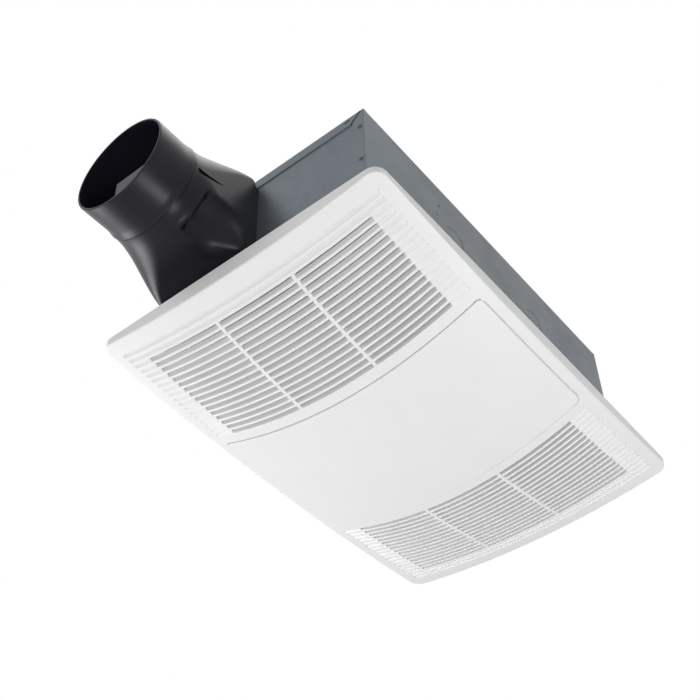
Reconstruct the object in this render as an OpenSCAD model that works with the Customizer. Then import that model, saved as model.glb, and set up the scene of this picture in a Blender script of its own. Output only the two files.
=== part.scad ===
// Ceiling mounted fan heater: a sheet steel box let into the ceiling, an exhaust blower that
// pushes air out through a round duct connector, a heater with its own fan, and a crowned
// louvred grille that hangs on springs.
// +Z points up into the ceiling, +X the way the exhaust air leaves, and z = 0 is the face of
// the ceiling. The origin is the middle of the box's mouth.

/* [Ceiling grille] */
// Length of the grille along the box
grille_l = 458; // [440:1:480]
// Width of the grille
grille_w = 302; // [290:1:320]
// Radius of the grille's corners in plan
grille_corner_r = 12; // [8:1:16]
// Depth of the rim at the four corners
rim_drop = 6; // [4:0.5:8]
// Crown of the long edges over the corners
crown_long = 10.3; // [8:0.1:12]
// Crown of the short edges over the corners
crown_short = 12.4; // [10:0.1:14]
// Further crown of the middle of the face
crown_mid = 23; // [18:0.5:26]
// Thickness of the moulded face
face_t = 2.8; // [2.4:0.1:3.2]
// Thickness of the rim's side wall
rim_t = 3; // [2.4:0.2:3.6]

/* [Louvres] */
// Distance between rows
slot_pitch = 6.92; // [6.4:0.02:7]
// Width of a slot
slot_gap = 4.1; // [3.4:0.1:4.6]
// Distance from the outermost row's centre to the end of the grille
slot_edge = 32; // [29:1:37]
// Distance from the ends of a row to the sides of the grille
slot_side = 30.3; // [28:0.1:36]
// Width of the two bars that part the slots
mullion_w = 3; // [2:0.2:4]
// Depth of the louvre bars behind the face
louvre_depth = 9; // [7:0.5:10]

/* [Centre panel] */
// Size of the panel along the grille
panel_l = 158; // [150:1:166]
// Distance from the panel's ends to the sides of the grille
panel_margin = 10; // [9:0.5:16]
// Radius of the panel's corners
panel_corner_r = 5; // [3:0.5:8]
// How far the panel stands out of the face
panel_proud = 1; // [0.6:0.1:1.6]
// Thickness of the panel
panel_t = 2.2; // [1.8:0.1:2.4]
// Groove all round the panel
panel_gap = 0.8; // [0.5:0.1:1.2]

/* [Steel box] */
// Length of the box
box_l = 392; // [386:1:400]
// Width of the box
box_w = 233; // [229:1:240]
// Height of the box
box_h = 146; // [144:1:150]
// Thickness of the galvanised sheet
sheet_t = 0.9; // [0.7:0.1:1.1]
// Height of the top's flange that folds down over each end
end_flange = 12.5; // [10:0.5:15]
// Width of the side walls' tabs that fold round the corners
corner_tab = 12; // [10:0.5:14]
// Width of the lips along the mouth
lip_w = 9; // [7:0.5:11]
// Diameter of the wiring knockouts
knockout_d = 26; // [22:1:28]
// Distance between the two wiring knockouts
knockout_spacing = 130; // [120:1:140]
// Height of the knockouts above the ceiling
knockout_z = 88; // [84:1:92]

/* [Joist holes] */
// Distance between the screw holes along the box
joist_spacing_x = 320; // [300:1:330]
// Distance between the screw holes up the box
joist_spacing_z = 90; // [80:1:96]
// Radius of a screw hole
joist_hole_r = 2.6; // [2.2:0.1:3]

/* [Duct connector] */
// Outer diameter of the round collar
collar_d = 99.4; // [98:0.1:101]
// Length of the round collar
collar_l = 41; // [36:1:46]
// How far the seam ring stands out from the collar
seam_rise = 1.4; // [1:0.1:2]
// Reach of the collar's mouth from the end of the box
duct_reach = 117; // [112:1:124]
// Distance of the collar's axis from the outer face of the box's long wall
duct_inset = 59.5; // [56.5:0.5:61.5]
// Rise of the collar's axis above the middle of the square end
duct_rise = 6.8; // [5:0.1:8]
// Wall of the connector
duct_wall = 2.2; // [1.8:0.1:2.6]
// Width of the connector's square end
throat_w = 104.5; // [100:0.5:105]
// Height of the connector's square end
throat_h = 98; // [94:1:99]

/* [Exhaust blower] */
// Outer diameter of the blower wheel
wheel_d = 108; // [100:1:110]
// Number of blades
wheel_blades = 36; // [24:2:42]
// Radius of the scroll next to the outlet
scroll_r0 = 62; // [60:0.5:64]
// Place of the blower's axis along the box
blower_x = 92; // [88:1:96]
// Place of the blower's axis across the box
blower_y = 4; // [2:0.5:5]

/* [Heater] */
// Length of the heater box
heater_l = 138; // [130:1:142]
// Width of the heater box
heater_w = 160; // [150:1:164]
// Place of the heater's axis along the box
heater_x = -120; // [-122:1:-118]
// Place of the heater's axis across the box
heater_y = -6; // [-10:1:-2]
// Outer diameter of the heater's fan
fan_d = 104; // [96:1:106]
// Number of blades on the heater's fan
fan_blades = 5; // [4:1:6]

/* [Spring hangers] */
// Distance between the two springs across the box
spring_spacing = 100; // [90:1:110]
// Place of the springs along the box
spring_x = -33; // [-34:0.5:-32]
// Diameter of the spring wire
spring_wire = 1.8; // [1.6:0.1:2]
// Angle of each arm from upright
spring_angle = 6; // [4:0.5:7]

/* [Hidden] */
$fn = 48;

// Clearances and overruns shared by all pieces
over = 1;
slip = 0.3;
run = 0.05;
seat = 0.1;
pair = [-1, 1];
half_share = 0.5;

// Colours
white = [0.93, 0.93, 0.93];
steel = [0.53, 0.56, 0.58];
black = [0.16, 0.16, 0.18];
copper = [0.72, 0.42, 0.22];
mica = [0.62, 0.55, 0.42];
brass = [0.78, 0.66, 0.36];
aluminium = [0.75, 0.76, 0.78];

// Grille: crown of the face, as a depth below the ceiling
face_depth = rim_drop + crown_long + crown_short + crown_mid;
face_steps_x = 20;
face_steps_y = 16;
slot_columns = 3;
panel_w = grille_w - 2 * panel_margin;
block_gap = 14;
slot_start = grille_l / 2 - slot_edge;
slot_span = grille_w - 2 * slot_side;
slot_rows = floor((slot_start - panel_l / 2 - block_gap) / slot_pitch) + 1;
block_l = (slot_rows - 1) * slot_pitch + slot_gap;
block_x = slot_start - (slot_rows - 1) * slot_pitch / 2;
block_margin = 3;
slot_w = (slot_span - (slot_columns - 1) * mullion_w) / slot_columns;
panel_lift = 0.2;
pocket_d = panel_t - panel_proud + panel_lift;
hook_l = 12;
hook_t = 1.6;
hook_barb = 1;
hook_tip = 0.4;
hook_slot = 0.5;
hook_inset = 4.8;
hook_x = panel_l / 3;
hook_y = panel_w / 2 - hook_inset;

// Box: inside faces of the sheet metal
in_x = box_l / 2 - 2 * sheet_t;
in_y = box_w / 2 - sheet_t;
in_z = box_h - sheet_t;
end_x = box_l / 2 - sheet_t;
mitre_gap = 0.8;
rivet_r = 1.5;
rivet_head_r = 2.4;
rivet_head_h = 1;
rivet_count = 3;
rivet_inset = 4.6;
rivet_below = 24;
rivet_y = box_w / 2 - rivet_inset;
rivet_top = box_h - rivet_below;
rivet_step_share = 0.324;
rivet_step = box_h * rivet_step_share;
pilot_r = 1.4;
pilot_x = 86.5;
pilot_z = 116;
knockout_x = knockout_spacing / 2;
knockout_sink = 0.5;
joist_z = box_h / 2;
tab_hook_w = 20;
tab_hook_t = 1.6;
hook_shares = [0.05, 0.38, -0.2, -0.41];

// Screws
screw_r = 2;
screw_head_r = 3.6;
screw_head_h = 1.8;
screw_l = 8;

// Height of the plates over the mouth
plate_z = 36;

// Spring rail, springs and their posts
rail_w = 22;
rail_z = 24;
rail_drop = 14;
rail_slot_l = 40;
spring_r = 6;
spring_turns = 4;
spring_wall = 2;
spring_z = -24;
spring_top = 92;
spring_hook = 5;
spring_y = spring_spacing / 2;
spring_l = spring_turns * spring_wire;
rail_slot_w = spring_l + 2 * slip;
post_w = 12;
post_t = 3;
pin_r = spring_r - spring_wall / 2 - slip;

// Duct connector
mouth_x = box_l / 2 + duct_reach;
seam_x = mouth_x - collar_l;
collar_r = collar_d / 2;
bore_r = collar_r - duct_wall;
seam_r = collar_r + seam_rise;
seam_step = 0.5;
cone_l = 9;
throat_z = box_h - end_flange - slip - throat_h / 2;
duct_y = duct_inset - box_w / 2;
duct_z = throat_z + duct_rise;
throat_rings = 6;
throat_points = 32;
throat_square = 9;
throat_lip = 12;
boss_r = 4.5;
boss_l = 10;
duct_screw_r = 1.6;
duct_screw_y = throat_w / 2 - duct_wall - boss_r;
duct_screw_z = throat_h / 2 - duct_wall - boss_r;
ledge_below = 25.7;
ledge_top = duct_z - ledge_below;
ledge_depth = 3;
ledge_t = 2;
ledge_past = 1;

// Damper
seat_w = 6.5;
seat_r = bore_r - seat_w;
seat_t = 2;
hinge_back = 17;
hinge_below = 5;
hinge_rise = bore_r - hinge_below;
hinge_x = seam_x - hinge_back;
hinge_z = duct_z + hinge_rise;
hinge_r = 1.5;
hinge_l = 26;
flap_gap = 4.5;
flap_r = bore_r - flap_gap;
flap_t = 1.5;
knuckle_r = 2.8;

// Scroll, a spiral that opens from the tongue round to the outlet
roof_gap = 4.8;
scroll_z0 = plate_z;
scroll_z1 = box_h - roof_gap;
scroll_wall = 2;
scroll_wall_gap = 18.6;
scroll_r1 = in_y + blower_y - scroll_wall_gap;
scroll_a0 = -20;
scroll_a1 = 270;
scroll_side_a = 90;
scroll_side = scroll_r(scroll_side_a);
scroll_steps = 30;
tongue_turn = 3;
tongue_a = scroll_a0 + tongue_turn;
outlet_gap = 4;
outlet_x = in_x - outlet_gap;
outlet_y0 = blower_y - scroll_r1;
outlet_y1 = blower_y + scroll_r0 * sin(scroll_a0);
boss_angles = [45, 135, 215];
inlet_inset = 10;
inlet_r = wheel_d / 2 - inlet_inset;
inlet_lip = 10;
plate_x0 = -18;

// Wiring box in the corner, with its sockets
wiring_gap = 8.7;
wiring_y = blower_y + scroll_side + wiring_gap;
wiring_d = box_w / 2 - wiring_y;
wiring_flange = 8;
wiring_screw_x = 70;
wiring_l = 190;
ground_share = 0.52;
ground_y = box_w / 2 - wiring_d * ground_share;
cover_screw_share = 0.48;
cover_screw_y = box_w / 2 - wiring_d * cover_screw_share;
cover_screw_shares = [0.08, 0.2, -0.15, -0.22];
socket_l = 34;
socket_h = 20;
socket_d = 12;
socket_x = 42;
socket_z = 108;
socket_rim = 2;
socket_front = 2.5;
pin_slot_w = 2;
pin_slot_h = 7;
pin_slot_gap = 7;
pin_slot_depth = 8;

// Motor inside the wheel
motor_r = 36;
motor_h = 40;
motor_wall = 1.2;
motor_top = scroll_z1 - scroll_wall;
motor_low = motor_top - motor_h;
shaft_r = 4;
stator_in = 20;
stator_h = 18;
stator_z = (motor_low + motor_top - stator_h) / 2;
rotor_gap = 0.4;
winding_t = 5;
winding_in = 22;
winding_out = 33;
end_plate_t = 2;
motor_screw_ring = 28;
motor_screw_l = 6;
motor_screw_count = 3;
bush_r = 7;
bush_h = 6;

// Blower wheel
wheel_gap = 2;
wheel_roof_gap = 17.2;
wheel_z0 = scroll_z0 + inlet_lip + wheel_gap;
wheel_z1 = scroll_z1 - wheel_roof_gap;
wheel_h = wheel_z1 - wheel_z0;
blade_depth = 9;
wheel_in = wheel_d / 2 - blade_depth;
blade_t = 1;
blade_steps = 4;
blade_lean = 9;
ring_t = 1.6;
ring_w = 4;
cup_gap = 3;
cup_r = wheel_in - cup_gap;
motor_gap = 6;
cup_floor = motor_low - motor_gap;
hub_r = 9;
hub_h = 14;
clip_r = 7;
clip_t = 1;
shaft_end = 3;
shaft_low = cup_floor - hub_h - shaft_end;

// Heater box and plate
heat_roof_gap = 3.8;
heat_top = box_h - heat_roof_gap;
heat_room = heat_top - plate_z;
heat_wall = 0.8;
heat_foot = 9;
rail_gap = 2;
heat_plate_x1 = spring_x - rail_w / 2 - rail_gap;
outlet_margin = 6;
outlet_r = fan_d / 2 + outlet_margin;
collar_share = 0.51;
collar_top = plate_z + heat_room * collar_share;
vent_rows = 5;
vent_share = 0.32;
vent_pitch_share = 0.113;
vent_h_share = 0.038;
vent_z = plate_z + heat_room * vent_share;
vent_pitch = heat_room * vent_pitch_share;
vent_l = 56;
vent_h = heat_room * vent_h_share;

// Heater's motor and fan
core_l = 56;
core_h_share = 0.15;
core_share = 0.716;
core_h = heat_room * core_h_share;
core_z = plate_z + heat_room * core_share;
core_y0 = -20;
core_y1 = 40;
core_hole = 13;
core_window_l = 28;
core_window_y0 = 17;
core_window_y1 = 30;
core_screw_x = 22;
core_screw_inset = 5;
core_screw_places = [core_y0 + core_screw_inset, core_y1 - core_screw_inset];
heat_rotor_r = 12.6;
heat_shaft_r = 2.5;
bracket_l = 52;
bracket_w = 14;
bracket_t = 1.2;
bracket_share = 0.075;
bracket_rise = heat_room * bracket_share;
bracket_foot = 8;
heat_bush_r = 5;
heat_bush_h = 5;
coil_l = 22;
coil_t = 6;
fan_share = 0.395;
fan_hub_share = 0.113;
fan_z = plate_z + heat_room * fan_share;
fan_hub_r = 11;
fan_hub_h = heat_room * fan_hub_share;
fan_pitch = 28;
fan_blade_t = 1;
blade_root = 10;
blade_tip = 66;

// Heating element, cut-out, fuse and guard
element_share = 0.15;
element_z = plate_z + heat_room * element_share;
element_h = heat_room * element_share;
element_t = 0.8;
element_rings = 3;
element_r0 = 22;
element_step = 13;
element_coil = 3;
guard_wire = 1;
guard_weld = 1.5;
guard_rings = 4;
guard_spokes = 4;
guard_reach = 4;
guard_z = plate_z - sheet_t - guard_wire - seat;
cutout_r = 8;
cutout_h = 7;
terminal_w = 4;
terminal_h = 7;
fuse_r = 2;
fuse_l = 12;

// Plain shapes

module round_plate(l, w, r, t) {
    linear_extrude(t) {
        square([l - 2 * r, w], center = true);
        square([l, w - 2 * r], center = true);
        for (i = pair, j = pair)
            translate([i * (l / 2 - r), j * (w / 2 - r)]) circle(r);
    }
}

module box(low, high) {
    translate(low) cube(high - low);
}

module tube(r_out, r_in, h) {
    difference() {
        cylinder(r = r_out, h = h);
        translate([0, 0, -over]) cylinder(r = r_in, h = h + 2 * over);
    }
}

module screw(l, r = screw_r) {
    cylinder(r = r, h = l);
    translate([0, 0, -screw_head_h]) cylinder(r = screw_head_r, h = screw_head_h);
}

function bow(p, span) = 1 - pow(2 * p / span, 2);

function face_z(x, y) = -(rim_drop + crown_long * bow(x, grille_l) + crown_short * bow(y, grille_w)
    + crown_mid * bow(x, grille_l) * bow(y, grille_w));

// All the space above the crowned face, raised by a shift, over a rectangle
module above_face(shift, l, w, nx, ny) {
    cols = ny + 1;
    count = (nx + 1) * cols;
    pts = [for (i = [0:nx], j = [0:ny])
        let (x = l * (i / nx - half_share), y = w * (j / ny - half_share)) [x, y, face_z(x, y) + shift]];
    tops = [for (i = pair, j = pair) [i * l / 2, j * w / 2, over]];
    skin = [for (i = [0:nx - 1], j = [0:ny - 1], k = [0, 1])
        let (a = i * cols + j, b = a + cols) k == 0 ? [a, b, b + 1] : [a, b + 1, a + 1]];
    low_x = concat([for (j = [0:ny]) j], [count + 1, count]);
    high_x = concat([for (j = [ny:-1:0]) nx * cols + j], [count + 2, count + 3]);
    low_y = concat([for (i = [nx:-1:0]) i * cols], [count, count + 2]);
    high_y = concat([for (i = [0:nx]) i * cols + ny], [count + 3, count + 1]);
    lid = [count, count + 1, count + 3, count + 2];
    polyhedron(concat(pts, tops), concat(skin, [low_x, high_x, low_y, high_y, lid]));
}

module whole_face(shift) {
    above_face(shift, grille_l + 2 * over, grille_w + 2 * over, face_steps_x, face_steps_y);
}

module column(l, w, r) {
    translate([0, 0, -face_depth - 2 * over]) round_plate(l, w, r, face_depth + 2 * over);
}

module louvre_zones(grow) {
    for (i = pair)
        translate([i * block_x - block_l / 2 - grow, -slot_span / 2 - grow, -face_depth - over])
            cube([block_l + 2 * grow, slot_span + 2 * grow, face_depth + 2 * over]);
}

module louvre_slots() {
    translate([0, 0, -face_depth - over]) linear_extrude(face_depth + 2 * over)
        for (i = pair, row = [0:slot_rows - 1], j = [-1:1])
            translate([i * (slot_start - row * slot_pitch), j * (slot_w + mullion_w)])
                square([slot_gap, slot_w], center = true);
}

module at_hooks() {
    for (i = [-1:1], j = pair) translate([i * hook_x, j * hook_y, 0]) children();
}

module at_springs() {
    for (j = pair) translate([spring_x, j * spring_y, spring_z]) children();
}

module spring_posts() {
    post_z = face_z(spring_x, spring_y);
    at_springs() for (i = pair) difference() {
        translate([i * (spring_l / 2 + slip + post_t / 2) - post_t / 2, -post_w / 2, post_z - spring_z])
            cube([post_t, post_w, post_w / 2 + spring_z - post_z]);
        rotate([0, 90, 0]) cylinder(r = pin_r + run, h = rail_w, center = true);
    }
}

module grille_shell() {
    inside_l = grille_l - 2 * rim_t;
    inside_w = grille_w - 2 * rim_t;
    difference() {
        intersection() {
            whole_face(0);
            column(grille_l, grille_w, grille_corner_r);
        }
        intersection() {
            whole_face(face_t);
            difference() {
                column(inside_l, inside_w, grille_corner_r - rim_t);
                louvre_zones(block_margin);
            }
        }
        intersection() {
            whole_face(louvre_depth);
            louvre_zones(block_margin + slip / 2);
        }
        louvre_slots();
    }
}

// Grille: a crowned face with a rim, two blocks of deep louvre bars, a bed for the centre panel
// and two pairs of posts for the springs
module grille() {
    hole_l = hook_l + 2 * hook_slot;
    hole_w = hook_t + 2 * hook_slot;
    color(white) difference() {
        union() {
            grille_shell();
            spring_posts();
        }
        difference() {
            column(panel_l + 2 * panel_gap, panel_w + 2 * panel_gap, panel_corner_r + panel_gap);
            whole_face(pocket_d);
        }
        at_hooks() translate([-hole_l / 2, -hole_w / 2, -face_depth]) cube([hole_l, hole_w, face_depth]);
    }
}

// Snap hook of the centre panel: a stem, and a barb with a slope that leads it in
module panel_hook(x, y) {
    out = hook_t / 2 + hook_barb;
    low = face_z(x, y) + (panel_t - panel_proud) / 2;
    top = face_z(x, y + out) + face_t + slip;
    translate([x - hook_l / 2, y - hook_t / 2, 0]) {
        hull() translate([0, 0, low]) cube([hook_l, hook_t, top - low + hook_barb]);
        hull() {
            translate([0, 0, top]) cube([hook_l, hook_t + hook_barb, hook_tip]);
            translate([0, 0, top + 2 * hook_barb]) cube([hook_l, hook_t, hook_tip]);
        }
    }
}

// Centre panel: a crowned plate that snaps into the grille with six hooks
module centre_panel() {
    color(white) {
        difference() {
            intersection() {
                whole_face(-panel_proud);
                column(panel_l, panel_w, panel_corner_r);
            }
            whole_face(panel_t - panel_proud);
        }
        for (i = [-1:1]) {
            panel_hook(i * hook_x, hook_y);
            mirror([0, 1, 0]) panel_hook(i * hook_x, hook_y);
        }
    }
}

// Spring pins: each carries one spring between its two posts
module spring_pins() {
    pin_l = spring_l + 2 * slip + 2 * post_t;
    color(steel) at_springs() rotate([0, 90, 0]) cylinder(r = pin_r, h = pin_l, center = true);
}

module spring_arm(side) {
    arm_l = (spring_top - spring_z) / cos(spring_angle);
    rotate([-side * spring_angle, 0, 0]) {
        cylinder(d = spring_wire, h = arm_l + spring_wire / 2);
        translate([0, 0, arm_l]) rotate([side * (spring_angle - 90), 0, 0])
            cylinder(d = spring_wire - 2 * run, h = spring_hook);
    }
}

// Grille springs: a wound coil on its pin and two arms that go up through the rail's slots
module grille_springs() {
    color(steel) at_springs() {
        rotate([0, 90, 0]) translate([0, 0, -spring_l / 2])
            tube(spring_r + spring_wall / 2, spring_r - spring_wall / 2, spring_l);
        for (side = pair)
            translate([side * (spring_l - spring_wall) / 2, side * spring_r, 0]) spring_arm(side);
    }
}

// Flat shape in the plane across the box, set at x
module across(x, t) {
    translate([x, 0, 0]) rotate([90, 0, 90]) linear_extrude(t) children();
}

module at_rivets() {
    for (i = pair, j = pair, k = [0:rivet_count - 1])
        translate([i * box_l / 2, j * rivet_y, rivet_top - k * rivet_step]) scale([i, 1, 1]) children();
}

module end_corner(j) {
    y = box_w / 2;
    z = box_h - end_flange;
    scale([j, 1]) {
        polygon([[y - corner_tab, 0], [y, 0], [y, box_h], [y - corner_tab, z]]);
        polygon([[0, z], [y - corner_tab - mitre_gap, z], [y - mitre_gap, box_h], [0, box_h]]);
    }
}

module plate_hooks(grow) {
    for (x = box_l * hook_shares)
        translate([x - tab_hook_w / 2 - grow, -box_w / 2 - tab_hook_t - grow, plate_z - sheet_t - grow])
            cube([tab_hook_w + 2 * grow, tab_hook_t + 2 * sheet_t + 2 * grow, sheet_t + 2 * grow]);
}

// Housing wrap: the top and both long walls, folded from one sheet, with lips at the mouth,
// tabs round the corners and mitred flanges over the ends
module housing_wrap() {
    x = box_l / 2;
    y = box_w / 2;
    color(steel) difference() {
        union() {
            box([-x, -y, in_z], [x, y, box_h]);
            for (j = pair) scale([1, j, 1]) {
                box([-x, in_y, 0], [x, y, box_h]);
                box([-in_x + slip, in_y - lip_w, 0], [in_x - slip, y, sheet_t]);
            }
            for (j = pair) {
                across(end_x, sheet_t) end_corner(j);
                across(-x, sheet_t) end_corner(j);
            }
        }
        for (i = pair) translate([i * knockout_x, y, knockout_z]) rotate([90, 0, 0])
            cylinder(d = knockout_d, h = 2 * sheet_t + over, center = true);
        for (i = pair, k = pair)
            translate([i * joist_spacing_x / 2, -y, joist_z + k * joist_spacing_z / 2]) rotate([90, 0, 0])
                cylinder(r = joist_hole_r, h = 2 * sheet_t + over, center = true);
        translate([pilot_x, y, pilot_z]) rotate([90, 0, 0])
            cylinder(r = pilot_r, h = 2 * sheet_t + over, center = true);
        at_rivets() rotate([0, 90, 0]) cylinder(r = rivet_r + seat, h = 2 * sheet_t + over, center = true);
        at_rail_screws() cylinder(r = screw_r + seat, h = 3 * sheet_t + over);
        for (i = pair) translate([i * wiring_screw_x, wiring_y - wiring_flange / 2, in_z])
            cylinder(r = screw_r + seat, h = 2 * sheet_t + over, center = true);
        translate([0, ground_y, in_z]) cylinder(r = screw_r + seat, h = 2 * sheet_t + over, center = true);
        plate_hooks(slip);
        box([end_x - over, duct_y - throat_w / 2 - slip, throat_z - throat_h / 2 - slip],
            [x + over, duct_y + throat_w / 2 + slip, throat_z + throat_h / 2 + slip]);
    }
}

module end_wall() {
    y = in_y - slip;
    box([in_x, -y, 0], [end_x, y, in_z - slip]);
    box([in_x - lip_w, -y + lip_w, 0], [end_x, y - lip_w, sheet_t]);
    box([in_x - lip_w, -y, in_z - slip - sheet_t], [end_x, y, in_z - slip]);
}

module rivet_holes() {
    at_rivets() rotate([0, 90, 0]) cylinder(r = rivet_r + seat, h = 2 * lip_w, center = true);
}

module at_duct_screws() {
    for (j = pair, k = pair)
        translate([end_x, duct_y + j * duct_screw_y, throat_z + k * duct_screw_z])
            rotate([0, 90, 0]) children();
}

// Duct end wall: closes the box at the outlet, with the opening into the duct connector
module duct_end_wall() {
    y = throat_w / 2 - throat_lip;
    z = throat_h / 2 - throat_lip;
    color(steel) difference() {
        end_wall();
        box([in_x - over, duct_y - y, throat_z - z], [end_x + over, duct_y + y, throat_z + z]);
        rivet_holes();
        at_duct_screws() cylinder(r = duct_screw_r + seat, h = 2 * sheet_t + over, center = true);
    }
}

// Far end wall: the same wall without an opening
module far_end_wall() {
    color(steel) difference() {
        scale([-1, 1, 1]) end_wall();
        rivet_holes();
    }
}

// Rivets through the corner tabs and the end walls
module wall_rivets() {
    tail = 2 * sheet_t + rivet_head_h;
    color(steel) at_rivets() rotate([0, 90, 0]) {
        cylinder(r1 = rivet_head_r, r2 = rivet_r, h = rivet_head_h);
        translate([0, 0, -tail]) cylinder(r = rivet_r, h = tail);
        translate([0, 0, -tail]) cylinder(r = rivet_head_r - seat, h = rivet_head_h);
    }
}

// Knockout discs, set back a little in the side wall
module knockout_discs() {
    color(steel) for (i = pair)
        translate([i * knockout_x, box_w / 2 - knockout_sink, knockout_z]) rotate([90, 0, 0])
            cylinder(r = knockout_d / 2 - slip / 2, h = sheet_t);
}

module sockets(grow) {
    for (i = pair) translate([i * socket_x, wiring_y, socket_z])
        translate([-socket_l / 2 - grow, -over, -socket_h / 2 - grow])
            cube([socket_l + 2 * grow, sheet_t + 2 * over, socket_h + 2 * grow]);
}

module at_cover_screws() {
    for (x = box_l * cover_screw_shares) translate([x, cover_screw_y, 0]) children();
}

// Wiring cover: a folded trough that shuts off the corner behind the knockouts
module wiring_cover() {
    x = wiring_l / 2;
    y = in_y - slip;
    z = in_z - slip;
    color(steel) difference() {
        union() {
            box([-x, wiring_y, plate_z], [x, y, plate_z + sheet_t]);
            box([-x, wiring_y, plate_z], [x, wiring_y + sheet_t, z]);
            box([-x, wiring_y - wiring_flange, z - sheet_t], [x, wiring_y + sheet_t, z]);
            for (i = pair) scale([i, 1, 1]) box([x - sheet_t, wiring_y, plate_z], [x, y, z]);
        }
        sockets(seat);
        for (i = pair) translate([i * wiring_screw_x, wiring_y - wiring_flange / 2, z])
            cylinder(r = screw_r + seat, h = 4 * sheet_t, center = true);
        at_cover_screws() cylinder(r = screw_r + seat, h = plate_z + 2 * sheet_t);
    }
}

module wiring_cover_screws() {
    z = in_z - slip - sheet_t;
    color(steel) for (i = pair)
        translate([i * wiring_screw_x, wiring_y - wiring_flange / 2, z]) screw(box_h - z);
}

// Ground screw, up through the top inside the wiring space
module ground_screw() {
    color(brass) translate([0, ground_y, in_z]) screw(sheet_t);
}

module socket(i) {
    translate([i * socket_x, wiring_y, socket_z]) difference() {
        union() {
            translate([-socket_l / 2, -socket_front, -socket_h / 2])
                cube([socket_l, socket_d + socket_front, socket_h]);
            translate([-socket_l / 2 - socket_rim, -socket_front, -socket_h / 2 - socket_rim])
                cube([socket_l + 2 * socket_rim, socket_front, socket_h + 2 * socket_rim]);
        }
        for (k = [-1:1])
            translate([k * pin_slot_gap - pin_slot_w / 2, -socket_front - over, -pin_slot_h / 2])
                cube([pin_slot_w, pin_slot_depth + over, pin_slot_h]);
    }
}

// Sockets that the blower and the heater plug into
module fan_socket() {
    color(white) socket(1);
}

module heater_socket() {
    color(black) socket(-1);
}

module at_rail_screws() {
    for (j = pair) translate([spring_x, j * (in_y - slip - sheet_t), rail_z - rail_drop / 2])
        rotate([-j * 90, 0, 0]) children();
}

// Spring rail: a bridge across the mouth with a slot for each spring's arms
module spring_rail() {
    w = rail_w / 2;
    y = in_y - slip;
    color(steel) difference() {
        union() {
            box([spring_x - w, -y, rail_z], [spring_x + w, y, rail_z + sheet_t]);
            for (j = pair) scale([1, j, 1])
                box([spring_x - w, y - sheet_t, rail_z - rail_drop], [spring_x + w, y, rail_z + sheet_t]);
        }
        for (j = pair)
            translate([spring_x - rail_slot_w / 2, j * spring_y - rail_slot_l / 2, rail_z - over])
                cube([rail_slot_w, rail_slot_l, sheet_t + 2 * over]);
        at_rail_screws() cylinder(r = screw_r + seat, h = 4 * sheet_t, center = true);
    }
}

// Screws that hold the rail to the side walls
module rail_screws() {
    color(steel) at_rail_screws() screw(2 * sheet_t + slip);
}

// Section of the duct connector at a share of the way from its square end to the seam
function throat_ring(share, inset) =
    let (ease = share * share * (3 - 2 * share),
        w = throat_w / 2 * (1 - ease) + seam_r * ease - inset,
        h = throat_h / 2 * (1 - ease) + seam_r * ease - inset,
        z = throat_z * (1 - ease) + duct_z * ease,
        bend = 2 / (2 + throat_square * pow(1 - share, 2)))
    [for (k = [0:throat_points - 1])
        let (a = 360 * k / throat_points)
        [end_x + share * (seam_x - end_x),
            duct_y + w * sign(cos(a)) * pow(abs(cos(a)), bend),
            z + h * sign(sin(a)) * pow(abs(sin(a)), bend)]];

module throat(inset, grow) {
    n = throat_points;
    shares = [for (i = [0:throat_rings]) i / throat_rings];
    mid = [for (s = shares) throat_ring(s, inset)];
    first = [for (p = mid[0]) p - [grow, 0, 0]];
    last = [for (p = mid[throat_rings]) p + [grow, 0, 0]];
    rings = grow > 0 ? concat([first], mid, [last]) : mid;
    m = len(rings);
    pts = [for (r = rings, p = r) p];
    sides = [for (i = [0:m - 2], k = [0:n - 1], h = [0, 1])
        let (a = i * n + k, b = i * n + (k + 1) % n) h == 0 ? [a, a + n, b + n] : [a, b + n, b]];
    polyhedron(pts, concat(sides, [[for (k = [0:n - 1]) k], [for (k = [n - 1:-1:0]) (m - 1) * n + k]]));
}

module on_duct(x) {
    translate([x, duct_y, duct_z]) rotate([0, 90, 0]) children();
}

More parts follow.
